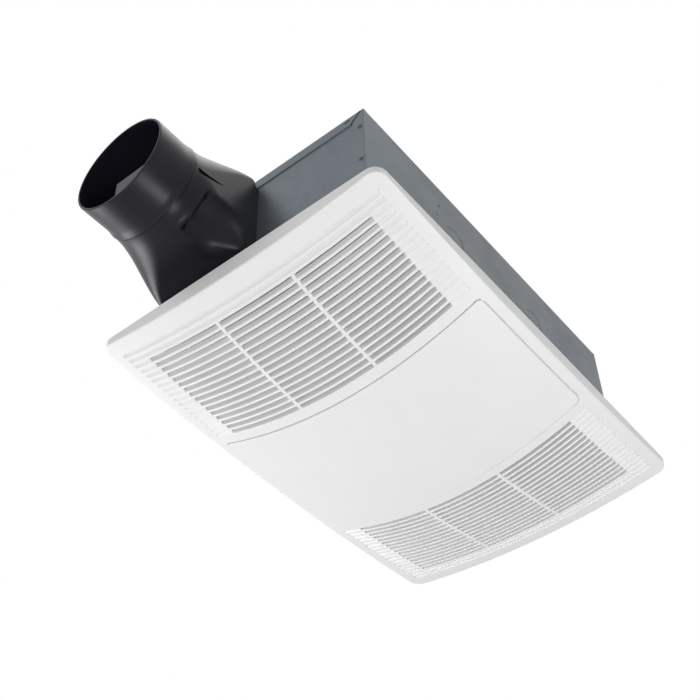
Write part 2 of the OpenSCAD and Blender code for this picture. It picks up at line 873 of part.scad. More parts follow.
// Duct connector: a round collar that widens into a square end against the box, with a seat
// and a hinge for the damper
module duct_connector() {
    seat_x = hinge_x - flap_t / 2 - slip - seat_t;
    knuckle_w = hinge_l / 2 + post_t;
    color(black) {
        difference() {
            union() {
                throat(0, 0);
                on_duct(seam_x - seat_t) cylinder(r = seam_r - seam_step, h = seat_t);
                on_duct(seam_x) cylinder(r1 = seam_r - seam_step, r2 = collar_r, h = cone_l);
                on_duct(seam_x + cone_l) cylinder(r = collar_r, h = collar_l - cone_l);
            }
            difference() {
                throat(duct_wall, over);
                intersection() {
                    box([seat_x, duct_y - throat_w, 0], [seat_x + seat_t, duct_y + throat_w, box_h]);
                    difference() {
                        on_duct(seat_x) cylinder(r = throat_w, h = seat_t);
                        on_duct(seat_x - over) cylinder(r = seat_r, h = seat_t + 2 * over);
                        box([seat_x - over, duct_y - knuckle_w, hinge_z - knuckle_r - over],
                            [seat_x + seat_t + over, duct_y + knuckle_w, box_h]);
                    }
                }
                for (j = pair) translate([hinge_x, duct_y + j * (hinge_l / 2 + post_t / 2), hinge_z])
                    difference() {
                        translate([-knuckle_r, -post_t / 2, -knuckle_r])
                            cube([2 * knuckle_r, post_t, throat_h / 2]);
                        rotate([90, 0, 0]) cylinder(r = hinge_r + seat / 2, h = 2 * post_t, center = true);
                    }
                at_duct_screws() difference() {
                    cylinder(r = boss_r, h = boss_l);
                    cylinder(r = duct_screw_r + seat, h = 2 * boss_l, center = true);
                }
            }
            at_duct_screws() cylinder(r = duct_screw_r + seat, h = boss_l + over);
            difference() {
                on_duct(seam_x - seat_t - over) cylinder(r = bore_r, h = collar_l + seat_t + 2 * over);
                intersection() {
                    box([mouth_x - ledge_depth - ledge_t, duct_y - ledge_past, 0],
                        [mouth_x - ledge_depth, duct_y + collar_r, ledge_top]);
                    on_duct(seam_x) cylinder(r = collar_r, h = collar_l);
                }
            }
        }
    }
}

module duct_screws() {
    color(steel) at_duct_screws() translate([0, 0, -sheet_t]) screw(boss_l, duct_screw_r);
}

module damper_pin() {
    color(steel) translate([hinge_x, duct_y, hinge_z]) rotate([90, 0, 0])
        cylinder(r = hinge_r, h = hinge_l + 2 * post_t, center = true);
}

// Damper flap: hangs shut from its pin and swings out in the air stream
module damper_flap() {
    color(black) difference() {
        union() {
            translate([hinge_x - flap_t / 2, duct_y, hinge_z - flap_r]) rotate([0, 90, 0])
                cylinder(r = flap_r, h = flap_t);
            translate([hinge_x, duct_y, hinge_z]) rotate([90, 0, 0])
                cylinder(r = knuckle_r, h = hinge_l - 2 * slip, center = true);
        }
        translate([hinge_x, duct_y, hinge_z]) rotate([90, 0, 0])
            cylinder(r = hinge_r + run, h = 2 * hinge_l, center = true);
        for (j = pair) translate([hinge_x, duct_y + j * hinge_l, hinge_z])
            cube([2 * knuckle_r, hinge_l + 2 * slip, 2 * (knuckle_r + hinge_r)], center = true);
    }
}

// Inside radius of the scroll at an angle
function scroll_r(a) = scroll_r0 + (scroll_r1 - scroll_r0) * (a - scroll_a0) / (scroll_a1 - scroll_a0);

function scroll_line(from, extra) = [for (i = [0:scroll_steps])
    let (a = from + (scroll_a1 - from) * i / scroll_steps)
    [blower_x + (scroll_r(a) + extra) * cos(a), blower_y + (scroll_r(a) + extra) * sin(a)]];

module scroll_outline(extra) {
    start = extra > 0 ? tongue_a : scroll_a0;
    outlet = [[outlet_x, outlet_y0 - extra], [outlet_x, outlet_y1 + extra]];
    polygon(concat(scroll_line(start, extra), outlet));
}

module at_scroll_bosses() {
    for (a = boss_angles)
        translate([blower_x, blower_y, 0]) rotate(a) translate([scroll_r(a) + boss_r, 0, 0]) children();
}

module at_motor_screws() {
    for (k = [0:motor_screw_count - 1])
        translate([blower_x, blower_y, 0]) rotate(360 * k / motor_screw_count)
            translate([motor_screw_ring, 0, 0]) children();
}

// Scroll case: moulded wall and roof round the blower wheel, open into the duct
module scroll_case() {
    color(black) difference() {
        union() {
            translate([0, 0, scroll_z0]) linear_extrude(scroll_z1 - scroll_z0) scroll_outline(scroll_wall);
            translate([0, 0, scroll_z0]) at_scroll_bosses() cylinder(r = boss_r, h = boss_l);
        }
        translate([0, 0, scroll_z0 - over]) {
            linear_extrude(scroll_z1 - scroll_wall - scroll_z0 + over) scroll_outline(0);
            at_scroll_bosses() cylinder(r = screw_r + seat, h = boss_l + over);
        }
        at_motor_screws() cylinder(r = screw_r + seat, h = box_h);
    }
}

// Inlet plate: carries the scroll and has the round inlet under the wheel
module inlet_plate() {
    y = in_y - slip;
    z = plate_z - sheet_t;
    color(steel) difference() {
        union() {
            box([plate_x0, -y, z], [in_x - rivet_head_h - slip, y, plate_z]);
            intersection() {
                plate_hooks(0);
                box([0, -box_w, 0], [box_l, 0, box_h]);
            }
            translate([blower_x, blower_y, z]) cylinder(r = inlet_r + sheet_t, h = inlet_lip + sheet_t);
        }
        translate([blower_x, blower_y, z - over]) cylinder(r = inlet_r, h = box_h);
        at_scroll_bosses() cylinder(r = screw_r + seat, h = box_h);
        at_cover_screws() cylinder(r = screw_r + seat, h = box_h);
    }
}

// Screws that hold the scroll to its plate, and both plates to the wiring cover
module plate_screws() {
    color(steel) translate([0, 0, plate_z - sheet_t]) {
        at_scroll_bosses() screw(screw_l);
        at_cover_screws() screw(screw_l);
    }
}

module on_blower(z) {
    translate([blower_x, blower_y, z]) children();
}

// Motor can: a drawn cup that hangs from the scroll's roof inside the wheel
module motor_can() {
    color(steel) on_blower(motor_low) difference() {
        cylinder(r = motor_r, h = motor_h);
        translate([0, 0, motor_wall]) cylinder(r = motor_r - motor_wall, h = motor_h);
        cylinder(r = shaft_r + over, h = motor_h, center = true);
    }
}

// End plate that closes the can and holds the upper bush
module motor_end_plate() {
    color(steel) difference() {
        on_blower(motor_top - end_plate_t) tube(motor_r - motor_wall - seat, bush_r, end_plate_t);
        at_motor_screws() cylinder(r = screw_r + seat, h = box_h);
    }
}

module motor_stator() {
    color(steel) on_blower(stator_z) tube(motor_r - motor_wall - seat, stator_in, stator_h);
}

module motor_windings() {
    color(copper) for (k = pair)
        on_blower(stator_z + (stator_h - winding_t) / 2 + k * (stator_h + winding_t) / 2)
            tube(winding_out, winding_in, winding_t);
}

module motor_rotor() {
    color(steel) on_blower(stator_z) tube(stator_in - rotor_gap, shaft_r, stator_h);
}

module motor_shaft() {
    color(steel) on_blower(shaft_low) cylinder(r = shaft_r, h = motor_top - seat - shaft_low);
}

module motor_bushes() {
    color(brass) {
        on_blower(motor_low + motor_wall) tube(bush_r, shaft_r + run, bush_h);
        on_blower(motor_top - bush_h) tube(bush_r, shaft_r + run, bush_h);
    }
}

module motor_screws() {
    color(steel) at_motor_screws() translate([0, 0, scroll_z1]) rotate([180, 0, 0]) screw(motor_screw_l);
}

module wheel_blade() {
    outer = [for (i = [0:blade_steps]) let (s = i / blade_steps) blade_point(s, 0)];
    inner = [for (i = [blade_steps:-1:0]) let (s = i / blade_steps) blade_point(s, blade_t)];
    linear_extrude(wheel_h) polygon(concat(outer, inner));
}

function blade_point(share, t) =
    let (r = wheel_in + share * (wheel_d / 2 - wheel_in - seat), a = blade_lean * share * share)
    [r * cos(a) - t * sin(a), r * sin(a) + t * cos(a)];

// Blower wheel: forward curved blades between two rings
module blower_wheel() {
    color(black) {
        on_blower(wheel_z0) {
            for (k = [0:wheel_blades - 1]) rotate(360 * k / wheel_blades) wheel_blade();
            tube(wheel_d / 2, wheel_d / 2 - ring_w, ring_t);
        }
        on_blower(wheel_z1 - ring_t) tube(wheel_d / 2, cup_r + run, ring_t);
    }
}

// Wheel cup: pressed into the wheel's upper ring, it reaches down round the motor to the hub
module wheel_cup() {
    color(black) difference() {
        union() {
            on_blower(cup_floor) tube(cup_r, cup_r - ring_t, wheel_z1 - cup_floor);
            on_blower(cup_floor) cylinder(r = cup_r, h = ring_t);
            on_blower(cup_floor - hub_h) cylinder(r = hub_r, h = hub_h);
        }
        on_blower(0) cylinder(r = shaft_r, h = box_h);
    }
}

// Spring clip that keeps the wheel on its shaft
module wheel_clip() {
    color(steel) on_blower(cup_floor - hub_h - clip_t) tube(clip_r, shaft_r, clip_t);
}

module on_heater(z) {
    translate([heater_x, heater_y, z]) children();
}

// Heater box: a folded steel box over the heater, with intake slots in its sides
module heater_box() {
    l = heater_l / 2;
    w = heater_w / 2;
    color(steel) difference() {
        on_heater(0) {
            difference() {
                box([-l, -w, plate_z], [l, w, heat_top]);
                box([-l + heat_wall, -w + heat_wall, plate_z - over],
                    [l - heat_wall, w - heat_wall, heat_top - heat_wall]);
            }
            for (i = pair) scale([i, 1, 1])
                box([l - heat_foot, -w + heat_foot, plate_z], [l, w - heat_foot, plate_z + heat_wall]);
        }
        for (k = [0:vent_rows - 1], j = pair)
            on_heater(vent_z + k * vent_pitch) translate([l - over, j * heater_w / 4 - vent_l / 2, 0])
                cube([2 * over, vent_l, vent_h]);
        at_heater_screws() cylinder(r = screw_r + seat, h = box_h);
        at_foot_screws() cylinder(r = screw_r + seat, h = box_h);
    }
}

module at_heater_screws() {
    for (i = pair, y = core_screw_places) on_heater(0) translate([i * core_screw_x, y, 0]) children();
}

module at_foot_screws() {
    for (i = pair, j = pair) on_heater(0)
        translate([i * (heater_l / 2 - heat_foot / 2), j * heater_w / 4, 0]) children();
}

// Heater plate: carries the heater box and the collar that the warm air leaves through
module heater_plate() {
    y = in_y - slip;
    z = plate_z - sheet_t;
    color(steel) difference() {
        union() {
            box([-in_x + rivet_head_h + slip, -y, z], [heat_plate_x1, y, plate_z]);
            intersection() {
                plate_hooks(0);
                box([-box_l, -box_w, 0], [0, 0, box_h]);
            }
        }
        on_heater(0) cylinder(r = outlet_r + heat_wall + run, h = box_h);
        at_cover_screws() cylinder(r = screw_r + seat, h = box_h);
        at_foot_screws() cylinder(r = screw_r + seat, h = box_h);
    }
}

// Outlet collar, pressed into the heater plate's hole, round the element and up to the fan
module heater_collar() {
    z = plate_z - sheet_t;
    color(steel) on_heater(z) tube(outlet_r + heat_wall, outlet_r, collar_top - z);
}

module heater_foot_screws() {
    color(steel) translate([0, 0, plate_z - sheet_t]) at_foot_screws() screw(screw_l);
}

// Core of the heater's motor: stacked laminations with the rotor's hole and the coil's window
module heater_motor_core() {
    color(steel) difference() {
        on_heater(core_z) difference() {
            box([-core_l / 2, core_y0, 0], [core_l / 2, core_y1, core_h]);
            translate([0, 0, -over]) cylinder(r = core_hole, h = core_h + 2 * over);
            box([-core_window_l / 2, core_window_y0, -over],
                [core_window_l / 2, core_window_y1, core_h + over]);
        }
        at_heater_screws() cylinder(r = screw_r + seat, h = box_h);
    }
}

// Coil wound round the core's back leg
module heater_motor_coil() {
    color(copper) on_heater(core_z) difference() {
        box([-coil_l / 2, core_window_y1 - coil_t, -coil_t],
            [coil_l / 2, core_y1 + coil_t, core_h + coil_t]);
        box([-coil_l, core_window_y1 - seat, -seat], [coil_l, core_y1 + seat, core_h + seat]);
    }
}

module motor_bracket() {
    l = bracket_l / 2;
    w = bracket_w / 2;
    difference() {
        union() {
            box([-l, -w, bracket_rise], [l, w, bracket_rise + bracket_t]);
            for (i = pair) scale([i, 1, 1]) {
                box([l - bracket_t, -w, 0], [l, w, bracket_rise + bracket_t]);
                box([l - bracket_foot, -w, 0], [l, w, bracket_t]);
            }
        }
        cylinder(r = heat_bush_r, h = 2 * bracket_rise);
    }
}

// Brackets above and below the core that hold the shaft's bushes
module heater_motor_brackets() {
    color(steel) {
        on_heater(core_z + core_h) motor_bracket();
        on_heater(core_z) scale([1, 1, -1]) motor_bracket();
    }
}

module heater_motor_bushes() {
    rise = core_h / 2 + bracket_rise + bracket_t / 2;
    color(brass) for (k = pair)
        on_heater(core_z + core_h / 2 + k * rise - heat_bush_h / 2)
            tube(heat_bush_r, heat_shaft_r + run, heat_bush_h);
}

module heater_motor_rotor() {
    color(steel) on_heater(core_z) tube(heat_rotor_r, heat_shaft_r, core_h);
}

module heater_motor_shaft() {
    top = core_z + core_h + bracket_rise + bracket_t + heat_bush_h / 2;
    color(steel) on_heater(fan_z - clip_t) cylinder(r = heat_shaft_r, h = top - fan_z + clip_t);
}

module heater_motor_screws() {
    color(steel) at_heater_screws() translate([0, 0, heat_top])
        rotate([180, 0, 0]) screw(heat_top - core_z);
}

// Spacer tubes between the heater box's roof and the motor core
module heater_motor_spacers() {
    low = core_z + core_h;
    color(steel) at_heater_screws() translate([0, 0, low])
        tube(screw_head_r, screw_r + seat, heat_top - heat_wall - low);
}

module fan_blade() {
    root = blade_root / 2;
    tip = blade_tip / 2;
    translate([0, 0, -fan_blade_t / 2]) linear_extrude(fan_blade_t)
        polygon([[0, -root], [fan_d, -tip], [fan_d, tip], [0, root]]);
}

// Heater fan: pressed blades on a hub
module heater_fan() {
    color(aluminium) on_heater(fan_z) difference() {
        union() {
            cylinder(r = fan_hub_r, h = fan_hub_h);
            intersection() {
                translate([0, 0, -fan_hub_h]) cylinder(r = fan_d / 2, h = 4 * fan_hub_h);
                for (k = [0:fan_blades - 1]) rotate(360 * k / fan_blades)
                    translate([0, 0, fan_hub_h / 2]) rotate([fan_pitch, 0, 0]) fan_blade();
            }
        }
        translate([0, 0, -fan_d]) cylinder(r = heat_shaft_r, h = 2 * fan_d);
    }
}

module element_loops(grow) {
    on_heater(element_z) for (k = [0:element_rings - 1])
        rotate_extrude() translate([element_r0 + k * element_step, 0])
            circle(r = element_coil + grow, $fn = 24);
}

// Element frame: crossed mica boards, notched for the coils, across the outlet collar
module element_frame() {
    r = outlet_r - slip;
    color(mica) difference() {
        on_heater(element_z) for (a = [0, 90]) rotate(a)
            box([-r, -element_t / 2, -element_h / 2], [r, element_t / 2, element_h / 2]);
        element_loops(slip);
    }
}

// Heating coils: three loops of coiled resistance wire, as tubes of the coil's diameter
module heating_coils() {
    color(aluminium) element_loops(0);
}

// Thermal cut-out, on the plate beside the outlet collar
module thermal_cutout() {
    color(black) on_heater(plate_z) translate([0, outlet_r + heat_wall + cutout_r + slip, 0]) {
        cylinder(r = cutout_r, h = cutout_h);
        for (i = pair) translate([i * cutout_r / 2, 0, cutout_h])
            box([-heat_wall / 2, -terminal_w / 2, 0], [heat_wall / 2, terminal_w / 2, terminal_h]);
    }
}

// Thermal fuse, clipped along the outside of the outlet collar
module thermal_fuse() {
    y = -outlet_r - heat_wall - fuse_r - seat;
    color(brass) on_heater((plate_z + collar_top) / 2) translate([0, y, 0])
        rotate([0, 90, 0]) cylinder(r = fuse_r, h = fuse_l, center = true);
}

// Wire guard under the outlet
module outlet_guard() {
    ring_gap = outlet_r / guard_rings;
    color(steel) on_heater(guard_z) {
        translate([0, 0, -guard_weld]) for (k = [1:guard_rings])
            rotate_extrude() translate([k * ring_gap - guard_wire, 0]) circle(r = guard_wire, $fn = 24);
        for (k = [0:guard_spokes - 1]) rotate([0, 0, 180 * k / guard_spokes]) rotate([0, 90, 0])
            cylinder(r = guard_wire, h = 2 * (outlet_r + guard_reach), center = true);
    }
}

housing_wrap();
duct_end_wall();
far_end_wall();
wall_rivets();
knockout_discs();
wiring_cover();
wiring_cover_screws();
ground_screw();
fan_socket();
heater_socket();
spring_rail();
rail_screws();
duct_connector();
duct_screws();
damper_pin();
damper_flap();
scroll_case();
inlet_plate();
plate_screws();
motor_can();
motor_end_plate();
motor_stator();
motor_windings();
motor_rotor();
motor_shaft();
motor_bushes();
motor_screws();
blower_wheel();
wheel_cup();
wheel_clip();
heater_box();
heater_plate();
heater_collar();
heater_foot_screws();
heater_motor_core();
heater_motor_coil();
heater_motor_brackets();
heater_motor_bushes();
heater_motor_rotor();
heater_motor_shaft();
heater_motor_screws();
heater_motor_spacers();
heater_fan();
element_frame();
heating_coils();
thermal_cutout();
thermal_fuse();
outlet_guard();
grille();
centre_panel();
spring_pins();
grille_springs();
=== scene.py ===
"""Ceiling mounted fan heater, seen from below in a white studio."""
import math

import bmesh
import bpy
from mathutils import Matrix, Vector


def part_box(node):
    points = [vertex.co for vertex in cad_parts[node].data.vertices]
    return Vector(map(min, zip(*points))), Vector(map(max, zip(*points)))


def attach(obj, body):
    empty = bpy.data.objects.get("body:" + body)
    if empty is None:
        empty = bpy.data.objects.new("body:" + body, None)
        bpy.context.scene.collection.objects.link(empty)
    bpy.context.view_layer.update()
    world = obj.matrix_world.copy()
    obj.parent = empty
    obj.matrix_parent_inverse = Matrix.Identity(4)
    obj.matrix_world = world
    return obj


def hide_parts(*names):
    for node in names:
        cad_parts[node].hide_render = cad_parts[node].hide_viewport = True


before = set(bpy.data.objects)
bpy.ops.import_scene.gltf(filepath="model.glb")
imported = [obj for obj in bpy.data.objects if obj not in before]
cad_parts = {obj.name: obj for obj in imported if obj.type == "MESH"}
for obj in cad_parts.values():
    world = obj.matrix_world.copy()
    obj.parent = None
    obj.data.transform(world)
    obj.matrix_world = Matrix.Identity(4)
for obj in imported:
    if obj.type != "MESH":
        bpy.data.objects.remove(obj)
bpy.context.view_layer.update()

# --- Camera -------------------------------------------------------------------------------------
# Stands below and to the side of the ceiling, and looks up at the grille, the duct and two walls.
# The place and the lens come from the edges of the box and the ellipses of the collar.
camera_at = (0.6894, 0.4700, -0.7809)
camera_lens = 64.148
azimuth, elevation, roll = math.radians(232.6906), math.radians(45.8115), math.radians(-1.7715)
ahead = Vector((math.cos(elevation) * math.sin(azimuth), math.cos(elevation) * math.cos(azimuth),
                math.sin(elevation)))
level = ahead.cross(Vector((0, 0, 1))).normalized()
above = level.cross(ahead)
right = math.cos(roll) * level + math.sin(roll) * above
up = -math.sin(roll) * level + math.cos(roll) * above
camera = bpy.data.objects.new("camera", bpy.data.cameras.new("camera"))
camera.data.lens = camera_lens
camera.data.sensor_width = 36
camera.data.clip_start = 0.01
camera.matrix_world = Matrix.Translation(camera_at) @ Matrix((right, up, -ahead)).transposed().to_4x4()
bpy.context.scene.collection.objects.link(camera)
bpy.context.scene.camera = camera
bpy.context.scene.view_settings.view_transform = "Standard"


# --- White studio -------------------------------------------------------------------------------
# A plain pale floor far below the object, soft lamps round the camera, and a white background that
# the camera, the glossy and the clear surfaces see at full strength.
def colour(text):
    """An sRGB hex colour as linear values."""
    parts = [int(text[i:i + 2], 16) / 255 for i in (0, 2, 4)]
    return [c / 12.92 if c <= 0.04045 else ((c + 0.055) / 1.055) ** 2.4 for c in parts] + [1.0]


def add(tree, kind, inputs=None, **settings):
    """Adds a node with its settings; an input that is given a socket is linked to it."""
    node = tree.nodes.new("ShaderNode" + kind)
    for key, value in settings.items():
        setattr(node, key, value)
    for key, value in (inputs or {}).items():
        if isinstance(value, bpy.types.NodeSocket):
            tree.links.new(value, node.inputs[key])
        else:
            node.inputs[key].default_value = value
    return node


def tree_of(owner):
    """The owner's emptied node tree."""
    owner.use_nodes = True
    owner.node_tree.nodes.clear()
    return owner.node_tree


fill_strength = 0.43
world = bpy.data.worlds.new("white studio")
bpy.context.scene.world = world
tree = tree_of(world)
path = add(tree, "LightPath")
seen = add(tree, "Math", {0: path.outputs["Is Camera Ray"], 1: path.outputs["Is Glossy Ray"]},
           operation="MAXIMUM")
seen = add(tree, "Math", {0: seen.outputs[0], 1: path.outputs["Is Transmission Ray"]},
           operation="MAXIMUM")
fill = add(tree, "Background", {"Color": colour("f3f3f2"), "Strength": fill_strength})
white = add(tree, "Background", {"Color": (1, 1, 1, 1), "Strength": 1.0})
both = add(tree, "MixShader", {0: seen.outputs[0], 1: fill.outputs[0], 2: white.outputs[0]})
add(tree, "OutputWorld", {"Surface": both.outputs[0]})

floor_z, floor_half, floor_glow = -2.6, 40, 0.45
floor_mesh = bpy.data.meshes.new("floor")
floor_mesh.from_pydata([(x * floor_half, y * floor_half, floor_z)
                        for x, y in ((-1, -1), (1, -1), (1, 1), (-1, 1))], [], [(0, 1, 2, 3)])
floor = bpy.data.objects.new("floor", floor_mesh)
bpy.context.scene.collection.objects.link(floor)
# Matt pale paint: takes a faint shadow, and looks pale to the camera without lighting the object
floor_paint = bpy.data.materials.new("matt pale studio paint")
tree = tree_of(floor_paint)
place = add(tree, "TexCoord")
mottle = add(tree, "TexNoise", {"Vector": place.outputs["Object"], "Scale": 3.0, "Detail": 3.0})
tone = add(tree, "MixRGB", {0: mottle.outputs["Fac"], 1: colour("ececec"), 2: colour("f4f4f4")})
paint = add(tree, "BsdfPrincipled", {"Base Color": tone.outputs[0], "Roughness": 0.9})
path = add(tree, "LightPath")
seen = add(tree, "Math", {0: path.outputs["Is Camera Ray"], 1: path.outputs["Is Glossy Ray"]},
           operation="MAXIMUM")
glow = add(tree, "Math", {0: seen.outputs[0], 1: floor_glow}, operation="MULTIPLY")
pale = add(tree, "Emission", {"Color": colour("ffffff"), "Strength": glow.outputs[0]})
lifted = add(tree, "AddShader", {0: paint.outputs[0], 1: pale.outputs[0]})
add(tree, "OutputMaterial", {"Surface": lifted.outputs[0]})
floor_mesh.materials.append(floor_paint)


def lamp(name, place, target, size, power):
    """A soft square lamp at a place, turned to a target; size in metres, power in watts."""
    light = bpy.data.lights.new(name, "AREA")
    light.shape = "SQUARE"
    light.size = size
    light.energy = power
    obj = bpy.data.objects.new(name, light)
    obj.location = place
    obj.rotation_euler = (Vector(target) - Vector(place)).to_track_quat("-Z", "Y").to_euler()
    bpy.context.scene.collection.objects.link(obj)
    obj.visible_camera = False


lamp("key from below", (1.1, 0.25, -1.25), (0, 0, 0), 0.7, 8.8)
lamp("sheen on the collar", (-0.21, 0.68, -0.84), (0.28, -0.03, 0.06), 0.26, 5.0)
lamp("side of the short wall", (0.95, -0.4, 0.55), (0.2, 0.1, 0.08), 0.5, 1.2)
lamp("side of the duct", (0.15, -1.3, -0.35), (0.24, -0.09, 0.06), 0.6, 11)
lamp("overhead", (0.1, 0.2, 1.7), (0, 0, 0.1), 1.4, 8)


# --- Galvanised steel box -----------------------------------------------------------------------
# The top and both long walls are one sheet of galvanised steel, 0.9 mm thick, folded on a brake.
# It has lips at the mouth, tabs round the four corners and mitred flanges over the end walls.
def surface(name, low, high, size, rough, metal=0.0, grain=0.4, dent=0.02, stretch=(1, 1, 1),
            pattern="TexNoise", shine=0.5, spread=0.08):
    """A finish with two tones in a pattern of a real size, a fine grain and uneven roughness.

    size, grain and dent are in mm; dent is how deep the grain is. shine is the specular level, and
    spread is how far the roughness strays from rough."""
    material = bpy.data.materials.new(name)
    tree = tree_of(material)
    place = add(tree, "TexCoord")
    pulled = add(tree, "Mapping", {"Vector": place.outputs["Object"], "Scale": stretch})
    inputs = {"Vector": pulled.outputs[0], "Scale": 1000 / size}
    if pattern == "TexNoise":
        inputs["Detail"] = 4.0
    main = add(tree, pattern, inputs)
    if pattern == "TexVoronoi":
        level = add(tree, "SeparateColor", {0: main.outputs["Color"]}).outputs[0]
    else:
        level = main.outputs["Fac"]
    tone = add(tree, "MixRGB", {0: level, 1: colour(low), 2: colour(high)})
    fine = add(tree, "TexNoise", {"Vector": pulled.outputs[0], "Scale": 1000 / grain, "Detail": 2.0})
    haze = add(tree, "TexNoise", {"Vector": place.outputs["Object"], "Scale": 1000 / (size * 2.5)})
    gloss = add(tree, "MapRange", {0: haze.outputs["Fac"], 1: 0.3, 2: 0.7,
                                   3: rough - spread, 4: rough + spread})
    bump = add(tree, "Bump", {"Height": fine.outputs["Fac"], "Distance": dent / 1000, "Strength": 0.6})
    body = add(tree, "BsdfPrincipled", {"Base Color": tone.outputs[0], "Roughness": gloss.outputs[0],
                                        "Metallic": metal, "Specular IOR Level": shine,
                                        "Normal": bump.outputs[0]})
    add(tree, "OutputMaterial", {"Surface": body.outputs[0]})
    return material


def loft(rings, closed=False):
    """A skin over rings with the same number of points, as (points, faces)."""
    n = len(rings[0])
    points = [p for ring in rings for p in ring]
    faces = []
    for i in range(len(rings) if closed else len(rings) - 1):
        a, b = i * n, (i + 1) % len(rings) * n
        faces += [(a + k, a + (k + 1) % n, b + (k + 1) % n, b + k) for k in range(n)]
    if not closed:
        faces += [tuple(range(n)), tuple(range(len(points) - n, len(points)))]
    return points, faces


def prism(outline, low, high, at):
    """A flat outline drawn out from low to high; at puts (u, v, w) in place."""
    return loft([[at(u, v, w) for u, v in outline] for w in (low, high)])


def turned(profile, at, n=24, closed=False):
    """A solid of revolution: profile of (radius, height) pairs; at puts (u, v, w) in place."""
    angles = [2 * math.pi * k / n for k in range(n)]
    return loft([[at(r * math.cos(a), r * math.sin(a), h) for a in angles] for r, h in profile],
                closed=closed)


def disc(centre, r, axis, low, high):
    """A round bar along axis 0, 1 or 2, from low to high on that axis."""
    def at(u, v, w):
        p = [centre[0] + u, centre[1] + v]
        p.insert(axis, w)
        return p
    return turned([(r, low), (r, high)], at, 32)


def block(low, high):
    """A box between two corners."""
    return prism([(low[0], low[1]), (high[0], low[1]), (high[0], high[1]), (low[0], high[1])],
                 low[2], high[2], lambda u, v, w: (u, v, w))


def joined(solids):
    """Several solids as one list of points and faces."""
    points, faces = [], []
    for p, f in solids:
        faces += [tuple(i + len(points) for i in face) for face in f]
        points += list(p)
    return points, faces


def mesh_of(name, solid):
    """A Blender mesh in metres from a solid in millimetres, with its faces turned outward."""
    mesh = bpy.data.meshes.new(name)
    mesh.from_pydata([[c / 1000 for c in p] for p in solid[0]], [], solid[1])
    work = bmesh.new()
    work.from_mesh(mesh)
    bmesh.ops.recalc_face_normals(work, faces=work.faces)
    work.to_mesh(mesh)
    work.free()
    return mesh


def carved(solid, cutters):
    """A solid with the cutters taken out of it."""
    body = bpy.data.objects.new("body", mesh_of("body", solid))
    tool = bpy.data.objects.new("tool", mesh_of("tool", joined(cutters)))
    for obj in (body, tool):
        bpy.context.scene.collection.objects.link(obj)
    cut = body.modifiers.new("cut", "BOOLEAN")
    cut.operation, cut.object, cut.solver = "DIFFERENCE", tool, "EXACT"
    result = body.evaluated_get(bpy.context.evaluated_depsgraph_get()).to_mesh()
    points = [tuple(c * 1000 for c in v.co) for v in result.vertices]
    faces = [tuple(f.vertices) for f in result.polygons]
    for obj in (body, tool):
        bpy.data.objects.remove(obj)
    return points, faces


def piece(name, solid, material, body, stands_for, angle=32):
    """A finished object from a solid, that stands for CAD nodes and moves with a body."""
    mesh = mesh_of(name, solid)
    mesh.materials.append(material)
    mesh.shade_smooth()
    mesh.set_sharp_from_angle(angle=math.radians(angle))
    obj = bpy.data.objects.new(name, mesh)
    bpy.context.scene.collection.objects.link(obj)
    even = obj.modifiers.new("even shading", "WEIGHTED_NORMAL")
    even.keep_sharp = True
    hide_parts(*stands_for)
    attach(obj, body)


def dress(material, *names):
    """Gives CAD nodes that are shown as they are their finish."""
    for name in names:
        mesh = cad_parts[name].data
        if not mesh.materials:
            mesh.materials.append(material)
        for i in range(len(mesh.materials)):
            mesh.materials[i] = material


def folded(path, r, t, steps=6):
    """Section of a folded sheet: path is its outer face, with folds of outer radius r."""
    outer, inner = [], []
    path = [Vector(p) for p in path]
    last = len(path) - 1
    for i, p in enumerate(path):
        if i in (0, last):
            fold = path[1] if i == 0 else path[last - 1]
            away = (path[2] if i == 0 else path[last - 2]) - fold
            outer.append(p)
            inner.append(p + away.normalized() * t)
        else:
            a, b = (path[i - 1] - p).normalized(), (path[i + 1] - p).normalized()
            centre = p + (a + b) * r
            for k in range(steps + 1):
                turn = k / steps * math.pi / 2
                out = -(b * math.cos(turn) + a * math.sin(turn))
                outer.append(centre + out * r)
                inner.append(centre + out * (r - t))
    return [tuple(p) for p in outer + inner[::-1]]


box_x, box_y, box_z = 196.0, 116.5, 146.0
sheet_t, fold_r, lip_w, tab_w, flange_h, mitre_gap = 0.9, 1.6, 9.9, 12.0, 12.5, 2.6
fold_room, flange_flare = 3.8, 0.35
wrap_end = box_x - fold_room
tool_slot_y, tool_slot_z = (95.5, 101.5), (139.7, 141.2)
cutout_y, cutout_z = (-109.55, -100), (34.9, 133.5)
knockout_x, knockout_z, knockout_r = 65.0, 88.0, 13.0
joist_x, joist_zs, joist_hole_r = 160.0, (28, 118), 2.6
pilot_x, pilot_z, pilot_r = 86.5, 116.0, 1.4
rail_x, rail_z, screw_hole_r = -33.0, 17.0, 2.1
cover_holes = ((-70, 85.5), (70, 85.5), (0, 102.5))
bar_slot_shares, bar_slot_half, bar_slot_low, bar_slot_high = (0.05, 0.38, -0.2, -0.41), 10.3, 34.8, 36.3
# Hot-dip galvanised steel: a cool blue-grey satin with a faint spangle and a cloudy sheen
galvanised = surface("galvanised steel, satin", "596167", "5d656c", 14, 0.4, metal=0.7, grain=1.2,
                     dent=0.006, pattern="TexVoronoi", spread=0.04)


def wall_top(p):
    """Height of the corner tabs' slanted upper edge at a place."""
    return min(box_z - 0.7, box_z - flange_h + (abs(p[1]) - box_y + tab_w) * flange_h / tab_w)


shell = []
wrap = folded([(-box_y + lip_w, 0), (-box_y, 0), (-box_y, box_z),
               (box_y, box_z), (box_y, 0), (box_y - lip_w, 0)], fold_r, sheet_t)
